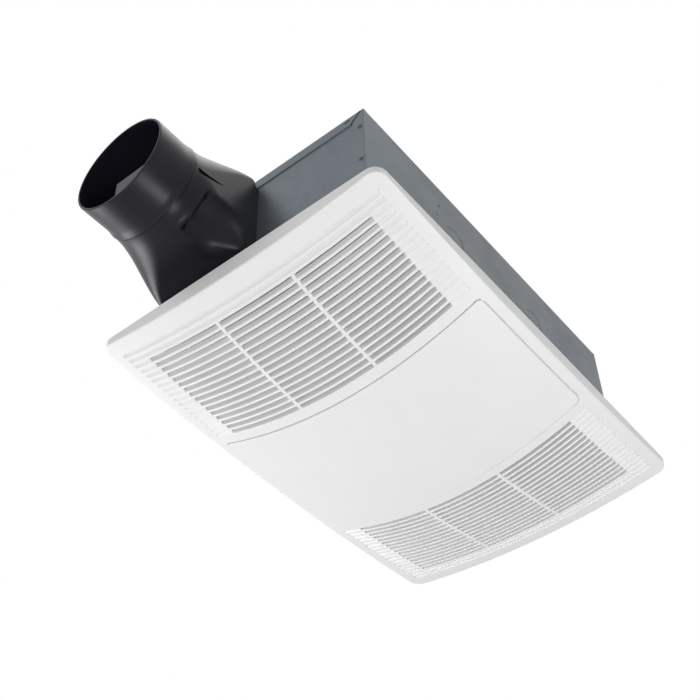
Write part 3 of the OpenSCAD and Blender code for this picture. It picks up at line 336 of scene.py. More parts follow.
# Holes for the knockouts, the joist screws, the pilot hole, the rail's and the cover's screws, and
# the short slots that the hanger bars' hooks go into
holes = [disc((s * knockout_x, knockout_z), knockout_r, 1, box_y - 2, box_y + 2) for s in (-1, 1)]
holes += [disc((s * joist_x, z), joist_hole_r, 1, -box_y - 2, -box_y + 2)
          for s in (-1, 1) for z in joist_zs]
holes += [disc((pilot_x, pilot_z), pilot_r, 1, box_y - 2, box_y + 2)]
holes += [disc((rail_x, rail_z), screw_hole_r, 1, s * box_y - 2, s * box_y + 2) for s in (-1, 1)]
holes += [disc(p, screw_hole_r, 2, box_z - 2, box_z + 2) for p in cover_holes]
for share in bar_slot_shares:
    x = share * 2 * box_x
    holes.append(block((x - bar_slot_half, -box_y - 2, bar_slot_low),
                       (x + bar_slot_half, -box_y + 2, bar_slot_high)))
shell.append(carved(prism(wrap, -wrap_end, wrap_end, lambda u, v, w: (w, u, v)), holes))
for sx in (-1, 1):
    top = folded([(wrap_end, box_z), (box_x, box_z), (box_x, box_z - flange_h)], fold_r, sheet_t)
    # The sheared lower edge of the flange leans out a little
    top = [(u, v - flange_flare) if u < box_x - 0.8 and v < box_z - flange_h + 0.1 else (u, v)
           for u, v in top]
    low_y, high_y = box_y - tab_w - mitre_gap, box_y - mitre_gap

    def mitre_y(z):
        """How far the flange reaches towards the corner at a height."""
        return min(high_y, low_y + (z - box_z + flange_h) * (high_y - low_y) / flange_h)

    flange = loft([[(sx * u, s * mitre_y(v), v) for u, v in top] for s in (-1, 1)])
    if sx > 0:
        # Slot beside the mitre for a sheet metal tool
        flange = carved(flange, [block((box_x - 3, tool_slot_y[0], tool_slot_z[0]),
                                       (box_x + 1, tool_slot_y[1], tool_slot_z[1]))])
    shell.append(flange)
    for sy in (-1, 1):
        plan = folded([(wrap_end, box_y), (box_x, box_y), (box_x, box_y - tab_w)], fold_r, sheet_t)
        tab = loft([[(sx * u, sy * v, 0) for u, v in plan],
                    [(sx * u, sy * v, wall_top((u, v))) for u, v in plan]])
        if (sx, sy) == (1, -1):
            # This tab is cut back for the duct connector
            tab = carved(tab, [block((box_x - 2, cutout_y[0], cutout_z[0]),
                                     (box_x + 1, cutout_y[1], cutout_z[1]))])
        shell.append(tab)
# Small round dimple below the pilot hole
dimple_x, dimple_z = 90.0, 101.0
shell.append(turned(((3.2, -0.2), (3.0, 0.05), (2.2, 0.3), (1.0, 0.4)),
                    lambda u, v, w: (dimple_x + u, box_y + w, dimple_z + v), 16))
piece("folded_housing", joined(shell), galvanised, "root", ["housing_wrap"])
# The end walls, the covers, the rail and the inner plates are of the same sheet
dress(galvanised, "duct_end_wall", "far_end_wall", "wiring_cover", "spring_rail", "inlet_plate",
      "heater_plate", "heater_box", "heater_collar")

# --- Rivets and knockouts -----------------------------------------------------------------------
# Twelve dull plated blind rivets hold the corner tabs to the end walls.
# Two round knockouts are struck out of the long wall and hang on by small bridges.
# Dull grey rivets: heads a little darker than the sheet round them
rivet_steel = surface("blind rivet steel, dull", "4d524f", "5b605c", 1.5, 0.42, metal=0.8, grain=0.25,
                      dent=0.01)
# Bright zinc plate: small screw heads that catch the light
zinc = surface("zinc plated steel, satin", "8f9498", "a3a8ab", 1.5, 0.38, metal=0.85, grain=0.25,
               dent=0.008)
rivet_y, rivet_top, rivet_step = 111.9, 122.0, 47.3
rivets = []
dome = [(1.5, -2.4), (1.5, -0.1), (2.4, 0.0), (2.4, 0.25), (2.1, 0.6), (1.5, 0.85), (0.9, 0.97),
        (0.85, 0.6), (0.2, 0.55)]
for sx in (-1, 1):
    for sy in (-1, 1):
        for k in range(3):
            z = rivet_top - k * rivet_step
            rivets.append(turned(dome, lambda u, v, w: (sx * (box_x + w), sy * rivet_y + u, z + v)))
piece("blind_rivets", joined(rivets), rivet_steel, "root", ["wall_rivets"])
bridge_at = 12.9
plates = []
for sx in (-1, 1):
    def on_wall(u, v, w):
        """A place on the long wall, from the knockout's middle and outward."""
        return sx * knockout_x + u, box_y + w, knockout_z + v

    plates.append(turned([(0.5, -1.35), (12.97, -1.35), (12.97, -0.3), (12.5, -0.12), (0.5, -0.12)],
                         on_wall, 48))
    # Punch mark in the middle, and the two bridges that hold the disc
    plates.append(turned([(0.1, -0.2), (1.4, -0.2), (1.2, -0.32), (0.1, -0.4)], on_wall, 16))
    for s in (-1, 1):
        x = sx * knockout_x + s * bridge_at
        plates.append(block((x - 0.4, box_y - 1.1, knockout_z - 1.2),
                            (x + 0.4, box_y - 0.5, knockout_z + 1.2)))
piece("knockout_plates", joined(plates), galvanised, "root", ["knockout_discs"])

# --- Screws -------------------------------------------------------------------------------------
# Pan head screws with a cross recess and a rolled thread hold the covers, plates and motors.
# Each stands where the CAD screw stands, and its head is at the CAD screw's wide end.
def islands(node):
    """The separate solids of a CAD node as lists of points in mm."""
    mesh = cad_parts[node].data
    parent = list(range(len(mesh.vertices)))

    def first_of(i):
        """The point that stands for all points of the same solid."""
        while parent[i] != i:
            parent[i] = parent[parent[i]]
            i = parent[i]
        return i

    spots = {}
    for i, v in enumerate(mesh.vertices):
        spot = tuple(round(c * 1e5) for c in v.co)
        parent[i] = spots.setdefault(spot, i)
    for edge in mesh.edges:
        a, b = first_of(edge.vertices[0]), first_of(edge.vertices[1])
        parent[a] = b
    groups = {}
    for i, v in enumerate(mesh.vertices):
        groups.setdefault(first_of(i), []).append(v.co * 1000)
    return [g for g in groups.values() if len(g) > 8]


def screw_solids(points):
    """A pan head screw in the room of one CAD screw."""
    low = [min(p[i] for p in points) for i in range(3)]
    high = [max(p[i] for p in points) for i in range(3)]
    mid = [(a + b) / 2 for a, b in zip(low, high)]
    spans = [b - a for a, b in zip(low, high)]
    axis = min(range(3), key=lambda i: abs(spans[(i + 1) % 3] - spans[(i + 2) % 3]))
    others = [i for i in range(3) if i != axis]
    head_r = spans[(axis + 1) % 3] / 2

    def off_axis(p):
        """How far a point is from the screw's axis."""
        return math.dist([p[i] for i in others], [mid[i] for i in others])

    head_low = min(p[axis] for p in points if off_axis(p) > head_r * 0.9) < mid[axis]
    tip, face = (high[axis], low[axis]) if head_low else (low[axis], high[axis])
    way = 1 if tip > face else -1
    length = abs(tip - face)
    shank_r = max(off_axis(p) for p in points if abs(p[axis] - tip) < 0.05)

    def at(u, v, w):
        """A place on the screw: two ways across, and from the head's top towards the tip."""
        p = [0, 0, 0]
        p[others[0]], p[others[1]], p[axis] = mid[others[0]] + u, mid[others[1]] + v, face + way * w
        return p

    n, head_h = 24, min(1.8, length / 2)

    def circle(r, w):
        """A ring round the screw."""
        angles = [2 * math.pi * k / n for k in range(n)]
        return [at(r * math.cos(a), r * math.sin(a), w) for a in angles]

    rings = [circle(head_r * r_share, head_h * h_share)
             for r_share, h_share in ((0.45, 0), (0.8, 0.1), (0.95, 0.35), (1, 0.6), (1, 1))]
    # Cross recess: every sixth point of the inner rings stays wide, the others step in to the cross
    cross = []
    for depth in (0.02, 0.55):
        ring = []
        for k in range(n):
            reach = {0: 0.42, 1: 0.4, 5: 0.4}.get(k % 6, 0.13)
            r = head_r * reach * (1 if depth < 0.1 else 0.8)
            turn = 2 * math.pi * (k - {1: 0.55, 5: -0.55}.get(k % 6, 0)) / n
            ring.append(at(r * math.cos(turn), r * math.sin(turn), head_h * depth))
        cross.append(ring)
    head = loft([cross[1], cross[0]] + rings)
    # Thread: a ridge of three edges wound round a slightly thinner core
    pitch, steps = 1.0, 12
    turns = max(1, int((length - head_h - 0.6) / pitch))
    thread = []
    for k in range(turns * steps + 1):
        a, w = 2 * math.pi * k / steps, head_h + 0.3 + pitch * k / steps
        ridge = [(shank_r * f, min(w + g, length - 0.1))
                 for f, g in ((0.8, -0.42), (0.99, 0.0), (0.8, 0.42))]
        thread.append([at(r * math.cos(a), r * math.sin(a), h) for r, h in ridge])
    core = [circle(shank_r * f, w)
            for f, w in ((0.82, head_h * 0.9), (0.82, length - 0.5), (0.5, length - 0.05))]
    return [head, loft(thread), loft(core)]


# Yellow brass: the ground screw, warm against the grey sheet
brass = surface("brass, satin", "a98b4e", "c2a565", 2, 0.33, metal=0.9, grain=0.3, dent=0.006)
screws = [(node, zinc, "zinc_fasteners") for node in (
    "wiring_cover_screws", "rail_screws", "duct_screws", "plate_screws", "motor_screws",
    "heater_foot_screws", "heater_motor_screws")]
for node, material, slot in screws + [("ground_screw", brass, "brass_parts")]:
    solids = [s for group in islands(node) for s in screw_solids(group)]
    piece(node + "_pan_head", joined(solids), material, "root", [node])
dress(brass, "motor_bushes", "heater_motor_bushes", "thermal_fuse")

# --- Sockets and black mouldings ------------------------------------------------------------------
# The blower plugs into a white moulded socket and the heater into a black one, both in the wiring
# cover. The scroll, the wheel and the cut-out's case are black mouldings too.
# Off-white nylon: the blower's socket, slightly warm beside the grey cover
nylon = surface("moulded nylon, off-white", "d8d5c8", "e2dfd4", 14, 0.42, grain=0.5, dent=0.006)
# Black moulded plastic: dark, dull surfaces inside the box
black_moulding = surface("moulded black polypropylene", "1b1b1d", "252527", 16, 0.5, grain=0.5,
                         dent=0.012)
dress(nylon, "fan_socket")
dress(black_moulding, "heater_socket", "scroll_case", "blower_wheel", "wheel_cup", "thermal_cutout")

# --- Duct connector -------------------------------------------------------------------------------
# One moulding of charcoal plastic: a square end held to the box by four screws, a hollowed
# shoulder, a seam ring and a straight round collar that the duct slides over.
duct_y, duct_z, throat_z = -57.0, 91.0, 84.2
end_face, seam_x, mouth_x = 195.1, 272.0, 313.0
throat_w, throat_h, collar_r, seam_r, seam_step, duct_wall = 104.5, 98.0, 49.7, 51.1, 0.5, 2.2
swell, swell_from, swell_over, round_from, throat_corner_r, straight = 9.5, 0.02, 0.08, 0.6, 4, 0.3
pocket, pocket_angle, pocket_half_angle, pocket_start, pocket_end = 11.0, -45, 25, 208, 255
ridge_h, ridge_x, ridge_w = 1.5, 257.6, 2.3
duct_points = 160
# Charcoal polypropylene: near black, with a soft sheen along the collar
charcoal = surface("moulded charcoal polypropylene", "14141b", "1a1a23", 40, 0.34, grain=0.6, dent=0.01,
                   shine=0.21, spread=0.04)


def ease(share):
    """The share with a gentle start and end, and held between 0 and 1."""
    share = min(1, max(0, share))
    return share * share * (3 - 2 * share)


def throat_section(share, inset):
    """Section of the shoulder: a rounded square whose corners open out into the round of the seam.

    share is the way gone from the box to the seam, and inset is how far inside the skin it lies."""
    late = ease((share - round_from) / (1 - round_from))
    # The shoulder swells above the box's flange as soon as it is out of the box
    top = throat_z + throat_h / 2 + swell * ease((share - swell_from) / swell_over)
    top += (duct_z + seam_r - seam_step - top) * late
    low = throat_z - throat_h / 2
    low += (duct_z - seam_r + seam_step - low) * ease(share)
    near = duct_y + throat_w / 2
    near += (duct_y + seam_r - seam_step - near) * late
    far = duct_y - throat_w / 2
    far += (duct_y - seam_r + seam_step - far) * ease(share)
    w, h, y, z = (near - far) / 2 - inset, (top - low) / 2 - inset, (near + far) / 2, (top + low) / 2
    r = throat_corner_r + (min(w, h) + inset - throat_corner_r) * ease(share) - inset
    r = max(0.5, r)
    flat = straight * (1 - ease(share))
    x = end_face + share * (seam_x - end_face)
    ring = []
    for k in range(duct_points):
        quarter, u = divmod(4 * k / duct_points, 1)
        turn = min(1, max(0, (u - flat) / (1 - 2 * flat))) * math.pi / 2
        along = min(1, u / flat) if u < flat else 1
        across = min(1, (1 - u) / flat) if u > 1 - flat else 1
        a, b = ((w, h), (h, w), (w, h), (h, w))[int(quarter)]
        p = Vector(((a - r) * across + r * math.cos(turn), (b - r) * along + r * math.sin(turn)))
        p.rotate(Matrix.Rotation(quarter * math.pi / 2, 2))
        spot = Vector((p.x + y - duct_y, p.y + z - duct_z))
        # Pocket in the corner towards the grille, so that a driver reaches the corner screw, with
        # a low ridge between it and the seam
        side = (math.degrees(math.atan2(spot.y, spot.x)) - pocket_angle) / pocket_half_angle
        reach = ease((pocket_end - x) / 3.5) * ease((x - pocket_start) / 30)
        ridge = ridge_h * math.exp(-((x - ridge_x) / ridge_w) ** 2)
        spot *= 1 - (pocket * reach - ridge) * max(0, 1 - side * side) ** 1.5 / spot.length
        ring.append((x, duct_y + spot.x, duct_z + spot.y))
    return ring


def duct_ring(x, r):
    """A ring round the duct's axis."""
    turns = [2 * math.pi * k / duct_points for k in range(duct_points)]
    return [(x, duct_y + r * math.cos(a), duct_z + r * math.sin(a)) for a in turns]


# Outside from the box to the mouth, over the groove and the bead of the seam, and back inside
shares = [i / 64 for i in range(64)]
outside = [throat_section(s, 0) for s in shares]
outside += [duct_ring(x, r) for x, r in (
    (271.7, 50.6), (271.9, 50.3), (272.3, 50.3), (272.5, 50.9), (273.2, 51.05), (275, 50.7),
    (278, 50.1), (281, collar_r), (290, collar_r), (300, collar_r), (311.6, collar_r), (312.6, 49.4),
    (mouth_x, 48.8))]
bore_r = collar_r - duct_wall
inside = [duct_ring(x, r) for x, r in ((mouth_x, 48.0), (312.7, bore_r), (300, bore_r), (285, bore_r),
                                       (271, bore_r))]
inside += [throat_section(s, duct_wall) for s in reversed(shares)]
# Narrow leaf-shaped slit in the near side, below the seam, as (x, z) points
slit = [(267.5, 89.0), (260.3, 88.8), (252.1, 89.3), (244.9, 90.4), (236.8, 92.9), (244.9, 88.2),
        (252.1, 86.2), (260.3, 84.4), (266.0, 84.0), (268.2, 86.0)]
parts = [carved(loft(outside + inside, closed=True),
                [prism(slit, -8, -3, lambda u, v, w: (u, w if w > -5 else w + (267 - u) * 0.04, v))])]
# Seat ring that the damper closes against, open at the top for the knuckles; its outer edge is sunk
# in the wall at the same two places, given as shares of the shoulder
seat_r, seat_start, seat_end, seat_sunk, seat_shares = 41, 251.95, 253.95, 1.2, (0.7393, 0.7653)
seat_in, seat_out = duct_ring(seat_start, seat_r), duct_ring(seat_end, seat_r)
edge_in, edge_out = (throat_section(s, seat_sunk) for s in seat_shares)
seat_gap_half, seat_gap_low = 16.1, 129.7
parts.append(carved(loft([edge_in, seat_in, seat_out, edge_out], closed=True),
                    [block((250, duct_y - seat_gap_half, seat_gap_low),
                           (256, duct_y + seat_gap_half, 150))]))
# Knuckles for the damper's pin, screw bosses at the four corners, ledge in the mouth
flap_x, hinge_z, pin_hole_r = 255.0, duct_z + 42.5, 1.55
knuckle_at, knuckle_half, knuckle_r, knuckle_up = 14.5, 1.5, 2.8, 4.4
boss_y, boss_z = 45.55, 42.3
boss_wall = [(1.7, 0), (4.5, 0), (4.3, 9.4), (4.0, 10), (1.8, 10)]
for s in (-1, 1):
    y = duct_y + s * knuckle_at
    knuckle = block((flap_x - knuckle_r, y - knuckle_half, hinge_z - knuckle_r),
                    (flap_x + knuckle_r, y + knuckle_half, hinge_z + knuckle_up))
    parts.append(carved(knuckle, [disc((flap_x, hinge_z), pin_hole_r, 1, y - 3, y + 3)]))
    for t in (-1, 1):
        y, z = duct_y + s * boss_y, throat_z + t * boss_z
        parts.append(turned(boss_wall, lambda u, v, w: (end_face + w, y + u, z + v), closed=True))
ledge_r, ledge_top, ledge_from, ledge_to, ledge_start, ledge_end = 48.6, 65.3, -1.2, 59.3, 308.0, 310.0
arc = [math.radians(ledge_from + k * (ledge_to - ledge_from) / 16) for k in range(17)]
ledge = [(duct_y + ledge_r * math.sin(a), duct_z - ledge_r * math.cos(a)) for a in arc]
ledge += [(ledge[-1][0] - 0.1, ledge_top), (duct_y - 1, ledge_top)]
parts.append(prism(ledge, ledge_start, ledge_end, lambda u, v, w: (w, u, v)))
piece("moulded_duct_connector", joined(parts), charcoal, "root", ["duct_connector"],
      angle=40)

# --- Damper ---------------------------------------------------------------------------------------
# A moulded flap with a round rib and two crossed ribs hangs on a steel pin inside the duct.
# It rests shut on the seat ring and the exhaust air swings it open.
flap_r, flap_t, flap_cut = 43.0, 1.5, 4.7
barrel_r, barrel_half = 2.8, 12.7
flap_parts = []


def on_flap(u, v, w):
    """A place on the flap, from its middle: along the pin, up, and along the duct."""
    return flap_x + w, duct_y + u, hinge_z - flap_r + v


# The flap's disc, cut straight below the knuckles
outline = []
for k in range(96):
    a = 2 * math.pi * k / 96
    u, v = flap_r * math.cos(a), flap_r * math.sin(a)
    if v > flap_r - flap_cut and abs(u) > 10:
        v = flap_r - flap_cut
    outline.append((u, v))
flap_parts.append(prism(outline, -flap_t / 2, flap_t / 2, on_flap))
# A round rib and two crossed ribs on the side towards the mouth
flap_parts.append(turned(((30, 0.7), (30, 1.3), (28.6, 1.3), (28.6, 0.7)),
                         lambda u, v, w: on_flap(u, v - 2, w), 72, closed=True))
for u0, v0, u1, v1 in ((-0.7, -31, 0.7, 27), (-29, -2.7, 29, -1.3)):
    flap_parts.append(block(on_flap(u0, v0, 0.6), on_flap(u1, v1, 1.4)))
barrel = [(pin_hole_r, -barrel_half), (barrel_r - 0.2, -barrel_half), (barrel_r, 0.3 - barrel_half),
          (barrel_r, barrel_half - 0.3), (barrel_r - 0.2, barrel_half), (pin_hole_r, barrel_half)]
flap_parts.append(turned(barrel, lambda u, v, w: (flap_x + u, duct_y + w, hinge_z + v), closed=True))
piece("damper_leaf", joined(flap_parts), charcoal, "damper", ["damper_flap"])
# Polished spring steel wire: pins, clips and the grille's springs
spring_steel = surface("spring steel wire, bright", "74777c", "888c91", 3, 0.24, metal=0.95, grain=0.3,
                       dent=0.004)
dress(spring_steel, "damper_pin", "wheel_clip", "spring_pins")

# --- Blower ---------------------------------------------------------------------------------------
# A black moulded scroll and wheel draw air through the steel inlet plate. The motor inside the
# wheel has a pressed steel can, stacked laminations and copper windings.
# Drawn motor steel: bright and even, with faint drawing lines up the can
motor_steel = surface("drawn motor steel, satin", "84888c", "979b9f", 5, 0.32, metal=0.9, grain=0.25,
                      dent=0.006, stretch=(1, 1, 0.15))


def banded(name, low, high, pitch, rough, metal, depth):
    """A finish of fine parallel layers or windings with a real pitch, all in mm."""
    material = bpy.data.materials.new(name)
    tree = tree_of(material)
    place = add(tree, "TexCoord")
    waves = add(tree, "TexWave", {"Vector": place.outputs["Object"],
                                  "Scale": 1000 / pitch / (2 * math.pi) * 2,
                                  "Distortion": 0.3, "Detail": 1.0}, bands_direction="Z")
    spots = add(tree, "TexNoise", {"Vector": place.outputs["Object"], "Scale": 1000 / (pitch * 8)})
    level = add(tree, "Math", {0: waves.outputs["Fac"], 1: spots.outputs["Fac"]}, operation="MULTIPLY")
    tone = add(tree, "MixRGB", {0: level.outputs[0], 1: colour(low), 2: colour(high)})
    bump = add(tree, "Bump", {"Height": waves.outputs["Fac"], "Distance": depth / 1000})
    body = add(tree, "BsdfPrincipled", {"Base Color": tone.outputs[0], "Roughness": rough,
                                        "Metallic": metal, "Normal": bump.outputs[0]})
    add(tree, "OutputMaterial", {"Surface": body.outputs[0]})
    return material


# Stacked electrical steel: dull grey with the edges of the single sheets
laminations = banded("stacked lamination steel", "4b4d50", "6e7175", 0.5, 0.5, 0.7, 0.06)
# Enamelled copper wire: warm bands of wound wire
copper = banded("enamelled copper windings", "7c3f1c", "c4713a", 0.8, 0.3, 0.8, 0.15)
dress(motor_steel, "motor_can", "motor_end_plate", "motor_shaft", "heater_motor_brackets",
      "heater_motor_shaft", "heater_motor_spacers")
dress(laminations, "motor_stator", "motor_rotor", "heater_motor_core", "heater_motor_rotor")
dress(copper, "motor_windings", "heater_motor_coil")

# --- Heater ---------------------------------------------------------------------------------------
# Three loops of wound resistance wire are held by crossed mica boards in the outlet collar, below a
# pressed aluminium fan. A wire guard keeps fingers away from them.
# Rolled aluminium: light, brushed along the blade
aluminium = surface("rolled aluminium, brushed", "b4b7ba", "c8cacc", 4, 0.34, metal=0.9, grain=0.3,
                    dent=0.006, stretch=(1, 0.1, 1))
# Mica board: brown flakes with a slight glint
mica = surface("pressed mica board", "7c6a4c", "a08a63", 2.5, 0.4, grain=0.6, dent=0.02,
               pattern="TexVoronoi")
dress(aluminium, "heater_fan")
dress(mica, "element_frame")
dress(zinc, "outlet_guard")
heater_x, heater_y = -120.0, -6.0
element_z = sum(c[2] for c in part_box("heating_coils")) * 500
# Nickel-chrome wire: dull grey-brown, blued a little by heat
resistance = surface("nickel-chrome resistance wire", "6c655e", "878078", 2, 0.42, metal=0.85,
                     grain=0.2, dent=0.004)


def wire(path, r, sides=6, closed=False):
    """A round wire along a path of points."""
    path = [Vector(p) for p in path]
    rings = []
    normal = None
    count = len(path)
    for i, p in enumerate(path):
        before = path[i - 1] if closed or i else p
        after = path[(i + 1) % count] if closed or i < count - 1 else p
        ahead = (after - before).normalized()
        if normal is None:
            normal = ahead.orthogonal()
        normal = (normal - ahead * normal.dot(ahead)).normalized()
        side = ahead.cross(normal)
        turns = [2 * math.pi * k / sides for k in range(sides)]
        rings.append([tuple(p + (normal * math.cos(a) + side * math.sin(a)) * r) for a in turns])
    return loft(rings, closed=closed)


# Each loop is a fine wire wound round a ring, with a turn every 1.6 mm
coil_rs, winding_r, winding_pitch, heating_wire_r, turn_steps = (22, 35, 48), 2.65, 1.6, 0.32, 8
coils = []
for loop_r in coil_rs:
    count = int(2 * math.pi * loop_r / winding_pitch) * turn_steps
    path = []
    for k in range(count):
        a, b = 2 * math.pi * k / count, 2 * math.pi * k / turn_steps
        r = loop_r + winding_r * math.cos(b)
        path.append((heater_x + r * math.cos(a), heater_y + r * math.sin(a),
                     element_z + winding_r * math.sin(b)))
    coils.append(wire(path, heating_wire_r, sides=4, closed=True))
piece("wound_heating_coils", joined(coils), resistance, "root", ["heating_coils"],
      angle=80)

# --- Grille ---------------------------------------------------------------------------------------
# One white plastic moulding: a crowned face with a soft rounded rim, two blocks of deep louvre bars,
# flutes that run on past the slots, a bed for the centre panel and posts for the two springs.
grille_x, grille_y, corner_r = 229.0, 151.0, 12.0
face_t, rim_t, edge_r = 2.8, 3.0, 1.4
row_pitch, row_start, row_count, slot_half = 6.92, 197.0, 16, 2.05
slot_l, slot_step, louvre_depth, louvre_slant = 78.467, 81.467, 5.1, 1.05
flute_end, flute_depth, flute_low = 137.95, 2.3, 0.3
slot_edge_sink, slot_edge_w, lean_start, lean_end = 0.6, 1.1, 90, 200
# White moulded plastic: soft satin with a very fine grain
white_plastic = surface("moulded white plastic, satin", "dedede", "e3e3e3", 30, 0.42, grain=0.5,
                        dent=0.006, spread=0.05)
# The face stands 6 mm off the ceiling at its corners, and most of all in the middle
rim_h, crown_x, crown_y, crown_both = 6, 10.3, 12.4, 23


def face_z(x, y):
    """Height of the crowned face: the rim's height at the corners, and crowned along x and y."""
    a, b = 1 - (x / grille_x) ** 2, 1 - (y / grille_y) ** 2
    return -(rim_h + crown_x * a + crown_y * b + crown_both * a * b)


def steps(stops, gap):
    """The stops with even steps no wider than gap between them."""
    stops = sorted(set(round(s, 4) for s in stops))
    line = [stops[0]]
    for a, b in zip(stops, stops[1:]):
        count = max(1, math.ceil((b - a) / gap))
        line += [round(a + (b - a) * (k + 1) / count, 4) for k in range(count)]
    return line


def both_signs(values):
    """The values, and then the same with the other sign."""
    return list(values) + [-v for v in values]


def perimeter(xs, ys):
    """Places along the edge of a grid, all round."""
    return ([(x, ys[0]) for x in xs[:-1]] + [(xs[-1], y) for y in ys[:-1]]
            + [(x, ys[-1]) for x in xs[:0:-1]] + [(xs[0], y) for y in ys[:0:-1]])


def facing(p, half, outline, r):
    """The point of a rounded outline that faces a point on the edge of an inner rectangle."""
    x, y = p
    turned_over = abs(abs(x) - half[0]) > 1e-3
    if turned_over:
        x, y, half, outline = y, x, half[::-1], outline[::-1]
    reach = outline[1] - r + r * math.pi / 4
    s = min(abs(y) / half[1], 1) * reach
    if s <= outline[1] - r:
        q = (outline[0], s)
    else:
        a = (s - outline[1] + r) / r
        q = (outline[0] - r + r * math.cos(a), outline[1] - r + r * math.sin(a))
    q = (math.copysign(q[0], x), math.copysign(q[1], y))
    return q[::-1] if turned_over else q


# The face is a grid with lines along every slot, the panel's bed and the louvres' thicker blocks
grid_x, grid_y, bed_x, bed_y, blind_end = 222, 146, 82, 144, 120.6
thick_start, thick_end, thick_y = 88.15, 202.05, 123.7
rows = [row_start - k * row_pitch for k in range(row_count)]
rows_both = both_signs(rows)
blind_rows = both_signs([row_start + row_pitch, row_start + 2 * row_pitch])
stops_x = [0.0] + both_signs([bed_x, thick_start, thick_end, 216, 218, 220, grid_x])
for c in rows_both + blind_rows:
    stops_x += [c + o for o in (-3, -2.6, -2.3, -2.05, -1, 0, 0.6, 1.1, 1.6, 2.05, 2.3, 2.6, 3)]
spans = [(k * slot_step - slot_l / 2, k * slot_step + slot_l / 2) for k in (-1, 0, 1)]
stops_y = [0.0] + both_signs([thick_y, 127, 130, 133, 136, 137.2, 138.2, 139, 139.6, 140.1,
                              141, 142, 143, bed_y, 145, grid_y])
for a, b in spans:
    stops_y += [a - 0.4, a - 0.15, a, b, b + 0.15, b + 0.4]
xs = [x for x in steps(stops_x, 9) if abs(x) < grid_x + 0.001]
ys = [y for y in steps(stops_y, 8) if abs(y) < grid_y + 0.001]
off_rows = [min(max(abs(x - c) - slot_half, 0) for c in rows_both) for x in xs]
off_spans = [min(max(a - y, y - b, 0) for a, b in spans) for y in ys]


def relief(i, j):
    """How far the face is sunk at a grid point, by slot edges and flutes."""
    x, y = xs[i], ys[j]
    gap = math.hypot(off_rows[i], off_spans[j])
    sink = slot_edge_sink * max(0, 1 - gap / slot_edge_w) ** 2
    # A flute falls steeply on the side of the grille's end and rises slowly towards the panel
    past = max(0.0, abs(y) - flute_end) / slot_half
    for c in blind_rows if abs(y) < blind_end else blind_rows + rows_both:
        u = (x - c) / slot_half
        if abs(u) < 1.001 and past < 1:
            deep = (1 - u) / (1 - flute_low) if u > flute_low else (1 + u) / (1 + flute_low)
            sink = max(sink, flute_depth * min(deep, 1) * (1 - past * past))
    return sink


points, faces, number = [], [], {}


def grid_point(i, j, level):
    """Index of a grid point on the front, the thin back or the deep back."""
    key = (i, j, level)
    if key not in number:
        z = face_z(xs[i], ys[j])
        z += relief(i, j) if level == "front" else face_t if level == "thin" else louvre_depth
        # The bars between the slots lean over, so that light falls on their lower sides
        leans = level == "deep" and lean_start < abs(xs[i]) < lean_end
        number[key] = len(points)
        points.append((xs[i] + (louvre_slant if leans else 0), ys[j], z))
    return number[key]


def kind_of(i, j):
    """What a grid cell is: a slot, a bar of the louvres, plain face, or None past the grid."""
    if not (0 <= i < len(xs) - 1 and 0 <= j < len(ys) - 1):
        return None
    x, y = (xs[i] + xs[i + 1]) / 2, (ys[j] + ys[j + 1]) / 2
    if any(abs(x - c) < slot_half for c in rows_both) and any(a < y < b for a, b in spans):
        return "slot"
    return "thick" if thick_start < abs(x) < thick_end and abs(y) < thick_y else "thin"


kinds = {(i, j): kind_of(i, j) for i in range(-1, len(xs)) for j in range(-1, len(ys))}
for (i, j), kind in kinds.items():
    if kind in (None, "slot"):
        continue
    square = [(i, j), (i + 1, j), (i + 1, j + 1), (i, j + 1)]
    middle = (xs[i] + xs[i + 1]) / 2, (ys[j] + ys[j + 1]) / 2
    if abs(middle[0]) > bed_x or abs(middle[1]) > bed_y:
        faces.append([grid_point(a, b, "front") for a, b in square])
    back = "thin" if kind == "thin" else "deep"
    faces.append([grid_point(a, b, back) for a, b in reversed(square)])
    sides = zip(square, square[1:] + square[:1])
    for (di, dj), (p, q) in zip(((0, -1), (1, 0), (0, 1), (-1, 0)), sides):
        other = kinds[i + di, j + dj]
        start = "front" if other == "slot" else "thin"
        if other == "slot" or (kind == "thick" and other == "thin"):
            faces.append([grid_point(*q, start), grid_point(*p, start),
                          grid_point(*p, back), grid_point(*q, back)])


def band(loops):
    """Faces between closed loops of point indices."""
    for low, high in zip(loops, loops[1:]):
        n = len(low)
        for k in range(n):
            faces.append([low[k], low[(k + 1) % n], high[(k + 1) % n], high[k]])


def sheet(start, across, along):
    """Faces over rows of points that begin at a point index."""
    for i in range(across - 1):
        for j in range(along - 1):
            a = start + i * along + j
            faces.append([a, a + along, a + along + 1, a + 1])


def ring_at(edge, half, outline, r, lift):
    """A new loop of points on a rounded outline; lift gives their heights."""
    loop = []
    for p in edge:
        x, y = facing(p, half, outline, r)
        loop.append(len(points))
        points.append((x, y, lift(x, y)))
    return loop


def grid_loop(edge, level):
    """The grid's own points along an edge, at one level."""
    return [grid_point(xs.index(x), ys.index(y), level) for x, y in edge]


# Rim: the face rolls over its edge, up the side, over the top and down the inside
edge = perimeter(xs, ys)


def rim_ring(d, lift):
    """A loop round the grille at a distance in from its outline."""
    return ring_at(edge, (grid_x, grid_y), (grille_x - d, grille_y - d), corner_r - d, lift)


loops = [grid_loop(edge, "front")]
for k in range(8):
    a = k / 7 * math.pi / 2
    rise = edge_r * (1 - math.cos(a))
    loops.append(rim_ring(edge_r * (1 - math.sin(a)), lambda x, y: face_z(x, y) + rise))
for d, z in ((0, -0.5), (0.15, -0.15), (0.5, 0), (rim_t - 0.4, 0), (rim_t, -0.4)):
    loops.append(rim_ring(d, lambda x, y: z))
loops.append(rim_ring(rim_t, lambda x, y: face_z(x, y) + face_t))
loops.append(grid_loop(edge, "thin"))
band(loops)

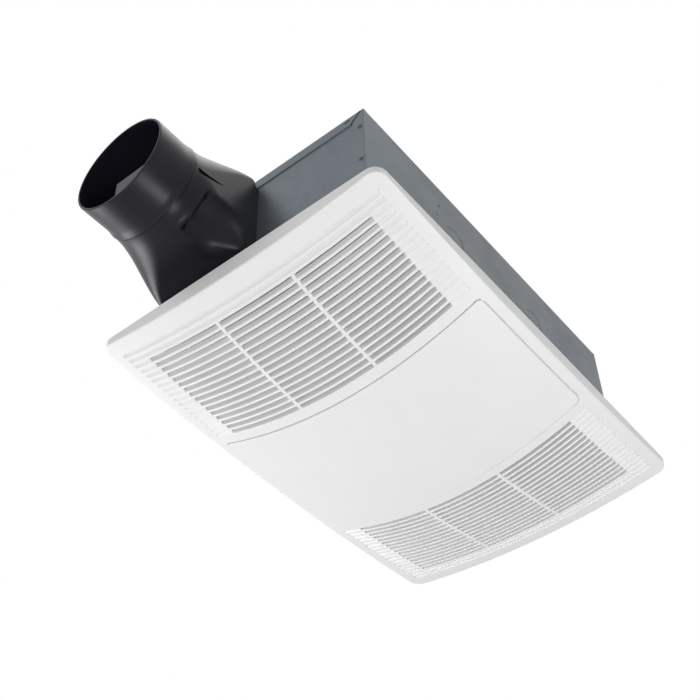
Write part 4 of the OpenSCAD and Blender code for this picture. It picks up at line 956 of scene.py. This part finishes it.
# Bed of the centre panel: a step down from the face and a crowned floor
bed_half_x, bed_half_y, bed_r, bed_depth = 79.8, 141.8, 5.8, 1.4
bed_floor_x, bed_floor_y = 76, 138
bed_xs = [x for x in xs if abs(x) < bed_x + 0.001]
bed_ys = [y for y in ys if abs(y) < bed_y + 0.001]
edge = perimeter(bed_xs, bed_ys)
loops = [grid_loop(edge, "front")]
for d, sink in ((-0.35, 0), (-0.1, 0.1), (0, 0.35), (0, bed_depth)):
    loops.append(ring_at(edge, (bed_x, bed_y), (bed_half_x - d, bed_half_y - d), bed_r - d,
                         lambda x, y: face_z(x, y) + sink))
bed_start, column = len(points), len(bed_ys)
for x in bed_xs:
    for y in bed_ys:
        # The floor's own grid stops short of the step
        x2, y2 = x * bed_floor_x / bed_x, y * bed_floor_y / bed_y
        points.append((x2, y2, face_z(x2, y2) + bed_depth))
loops.append([bed_start + bed_xs.index(x) * column + bed_ys.index(y) for x, y in edge])
band(loops)
sheet(bed_start, len(bed_xs), column)

# Spring posts: two cheeks for each spring's pin, from the back of the face up past the pin
spring_x, spring_y, spring_z, post_root = -33.0, 50.0, -24.0, 1.8
cheek_at, cheek_t, cheek_half, cheek_round, pin_bore_r = 5.4, 3.0, 6.0, 7.6, 4.75
posts = []
for sy in (-1, 1):
    for sx in (-1, 1):
        low = spring_x + sx * cheek_at - cheek_t / 2
        drop = spring_z - face_z(spring_x, spring_y) - post_root
        outer, hole = [], []
        for k in range(48):
            a = 2 * math.pi * (k + 0.5) / 48
            c, s = math.cos(a), math.sin(a)
            reach = min(cheek_half / abs(c), (cheek_half if s > 0 else drop) / abs(s))
            if s > 0:
                reach = min(reach, cheek_round)
            outer.append((c * reach, s * reach))
            hole.append((c * pin_bore_r, s * pin_bore_r))
        posts.append(loft([[(w, sy * spring_y + u, spring_z + v) for u, v in ring] for ring, w in (
            (outer, low), (outer, low + cheek_t), (hole, low + cheek_t), (hole, low))], closed=True))
piece("moulded_grille", joined([(points, faces)] + posts), white_plastic, "grille",
      ["grille"])

# --- Centre panel -----------------------------------------------------------------------------------
# A separate crowned plate of the same white plastic with rounded edges, which snaps into its bed
# with six hooks and stands a little proud of the face.
panel_x, panel_y, panel_r, panel_proud, panel_t, panel_edge = 79.0, 141.0, 5.0, 1.0, 2.2, 0.8
flat_x, flat_y = 75, 137
points, faces = [], []
pxs, pys = (steps(both_signs([0] + [flat - d for d in (0, 1, 2, 6)]), 10) for flat in (flat_x, flat_y))
for lift in (-panel_proud, panel_t - panel_proud):
    points += [(x, y, face_z(x, y) + lift) for x in pxs for y in pys]
column, count = len(pys), len(pxs) * len(pys)
for start in (0, count):
    sheet(start, len(pxs), column)
edge = perimeter(pxs, pys)
inner = [pxs.index(x) * column + pys.index(y) for x, y in edge]


def panel_ring(d, rise):
    """A loop round the panel at a distance in from its outline, lifted off the grille's face."""
    return ring_at(edge, (flat_x, flat_y), (panel_x - d, panel_y - d), panel_r - d,
                   lambda x, y: face_z(x, y) + rise)


loops = [inner]
for k in range(5):
    a = k / 4 * math.pi / 2
    rise = panel_edge * (1 - math.cos(a)) - panel_proud
    loops.append(panel_ring(panel_edge * (1 - math.sin(a)), rise))
loops.append(panel_ring(0, panel_t - panel_proud))
loops.append([count + i for i in inner])
band(loops)
# Each hook goes through the bed, and its nose catches on the back of the grille
hook_step, hook_y, hook_half, nose = 52.667, 136.2, 6, 1.8
hooks = []
for sx in (-1, 0, 1):
    for sy in (-1, 1):
        x = sx * hook_step
        low, top = face_z(x, hook_y) + 0.6, face_z(x, hook_y + nose) + face_t + 0.3
        outline = [(-0.8, low), (0.8, low), (0.8, top), (nose, top), (nose, top + 0.4), (0.8, top + 2.4),
                   (-0.8, top + 2.4)]
        hooks.append(prism([(sy * (hook_y + u), v) for u, v in outline], x - hook_half, x + hook_half,
                           lambda u, v, w: (w, u, v)))
piece("snap_in_panel", joined([(points, faces)] + hooks), white_plastic, "grille",
      ["centre_panel"])

# --- Grille springs -----------------------------------------------------------------------------------
# Two torsion springs of bright steel wire: a coil on each pin, and two long arms with hooked ends
# that go up through the slots of the rail and pull the grille against the ceiling.
wire_r, coil_r, coil_turns, arm_x, spring_top, lean = 0.9, 6.0, 2.5, 2.6, 92.0, math.radians(6)
wires = []
for sy in (-1, 1):
    path = []
    reach = (spring_top - spring_z) * math.tan(lean)
    for side in (-1, 1):
        # Hooked end, the bend below it, and down the arm to the coil
        arm = [(coil_r + reach + out, spring_top - down)
               for out, down in ((5, 0), (1.2, 0), (0.35, 0.25), (-0.1, 1.1))]
        arm += [(coil_r + reach * t, spring_z + t * (spring_top - spring_z)) for t in (0.5, 0.06)]
        arm = [(side * arm_x, side * y, z) for y, z in arm]
        if side < 0:
            path += arm
            for k in range(81):
                a = math.pi + k / 80 * coil_turns * 2 * math.pi
                path.append((arm_x * (k / 40 - 1), coil_r * math.cos(a),
                             spring_z + coil_r * math.sin(a)))
        else:
            path += arm[::-1]
    wires.append(wire([(spring_x + x, sy * spring_y + y, z) for x, y, z in path], wire_r, sides=10))
piece("wound_grille_springs", joined(wires), spring_steel, "grille", ["grille_springs"],
      angle=60)
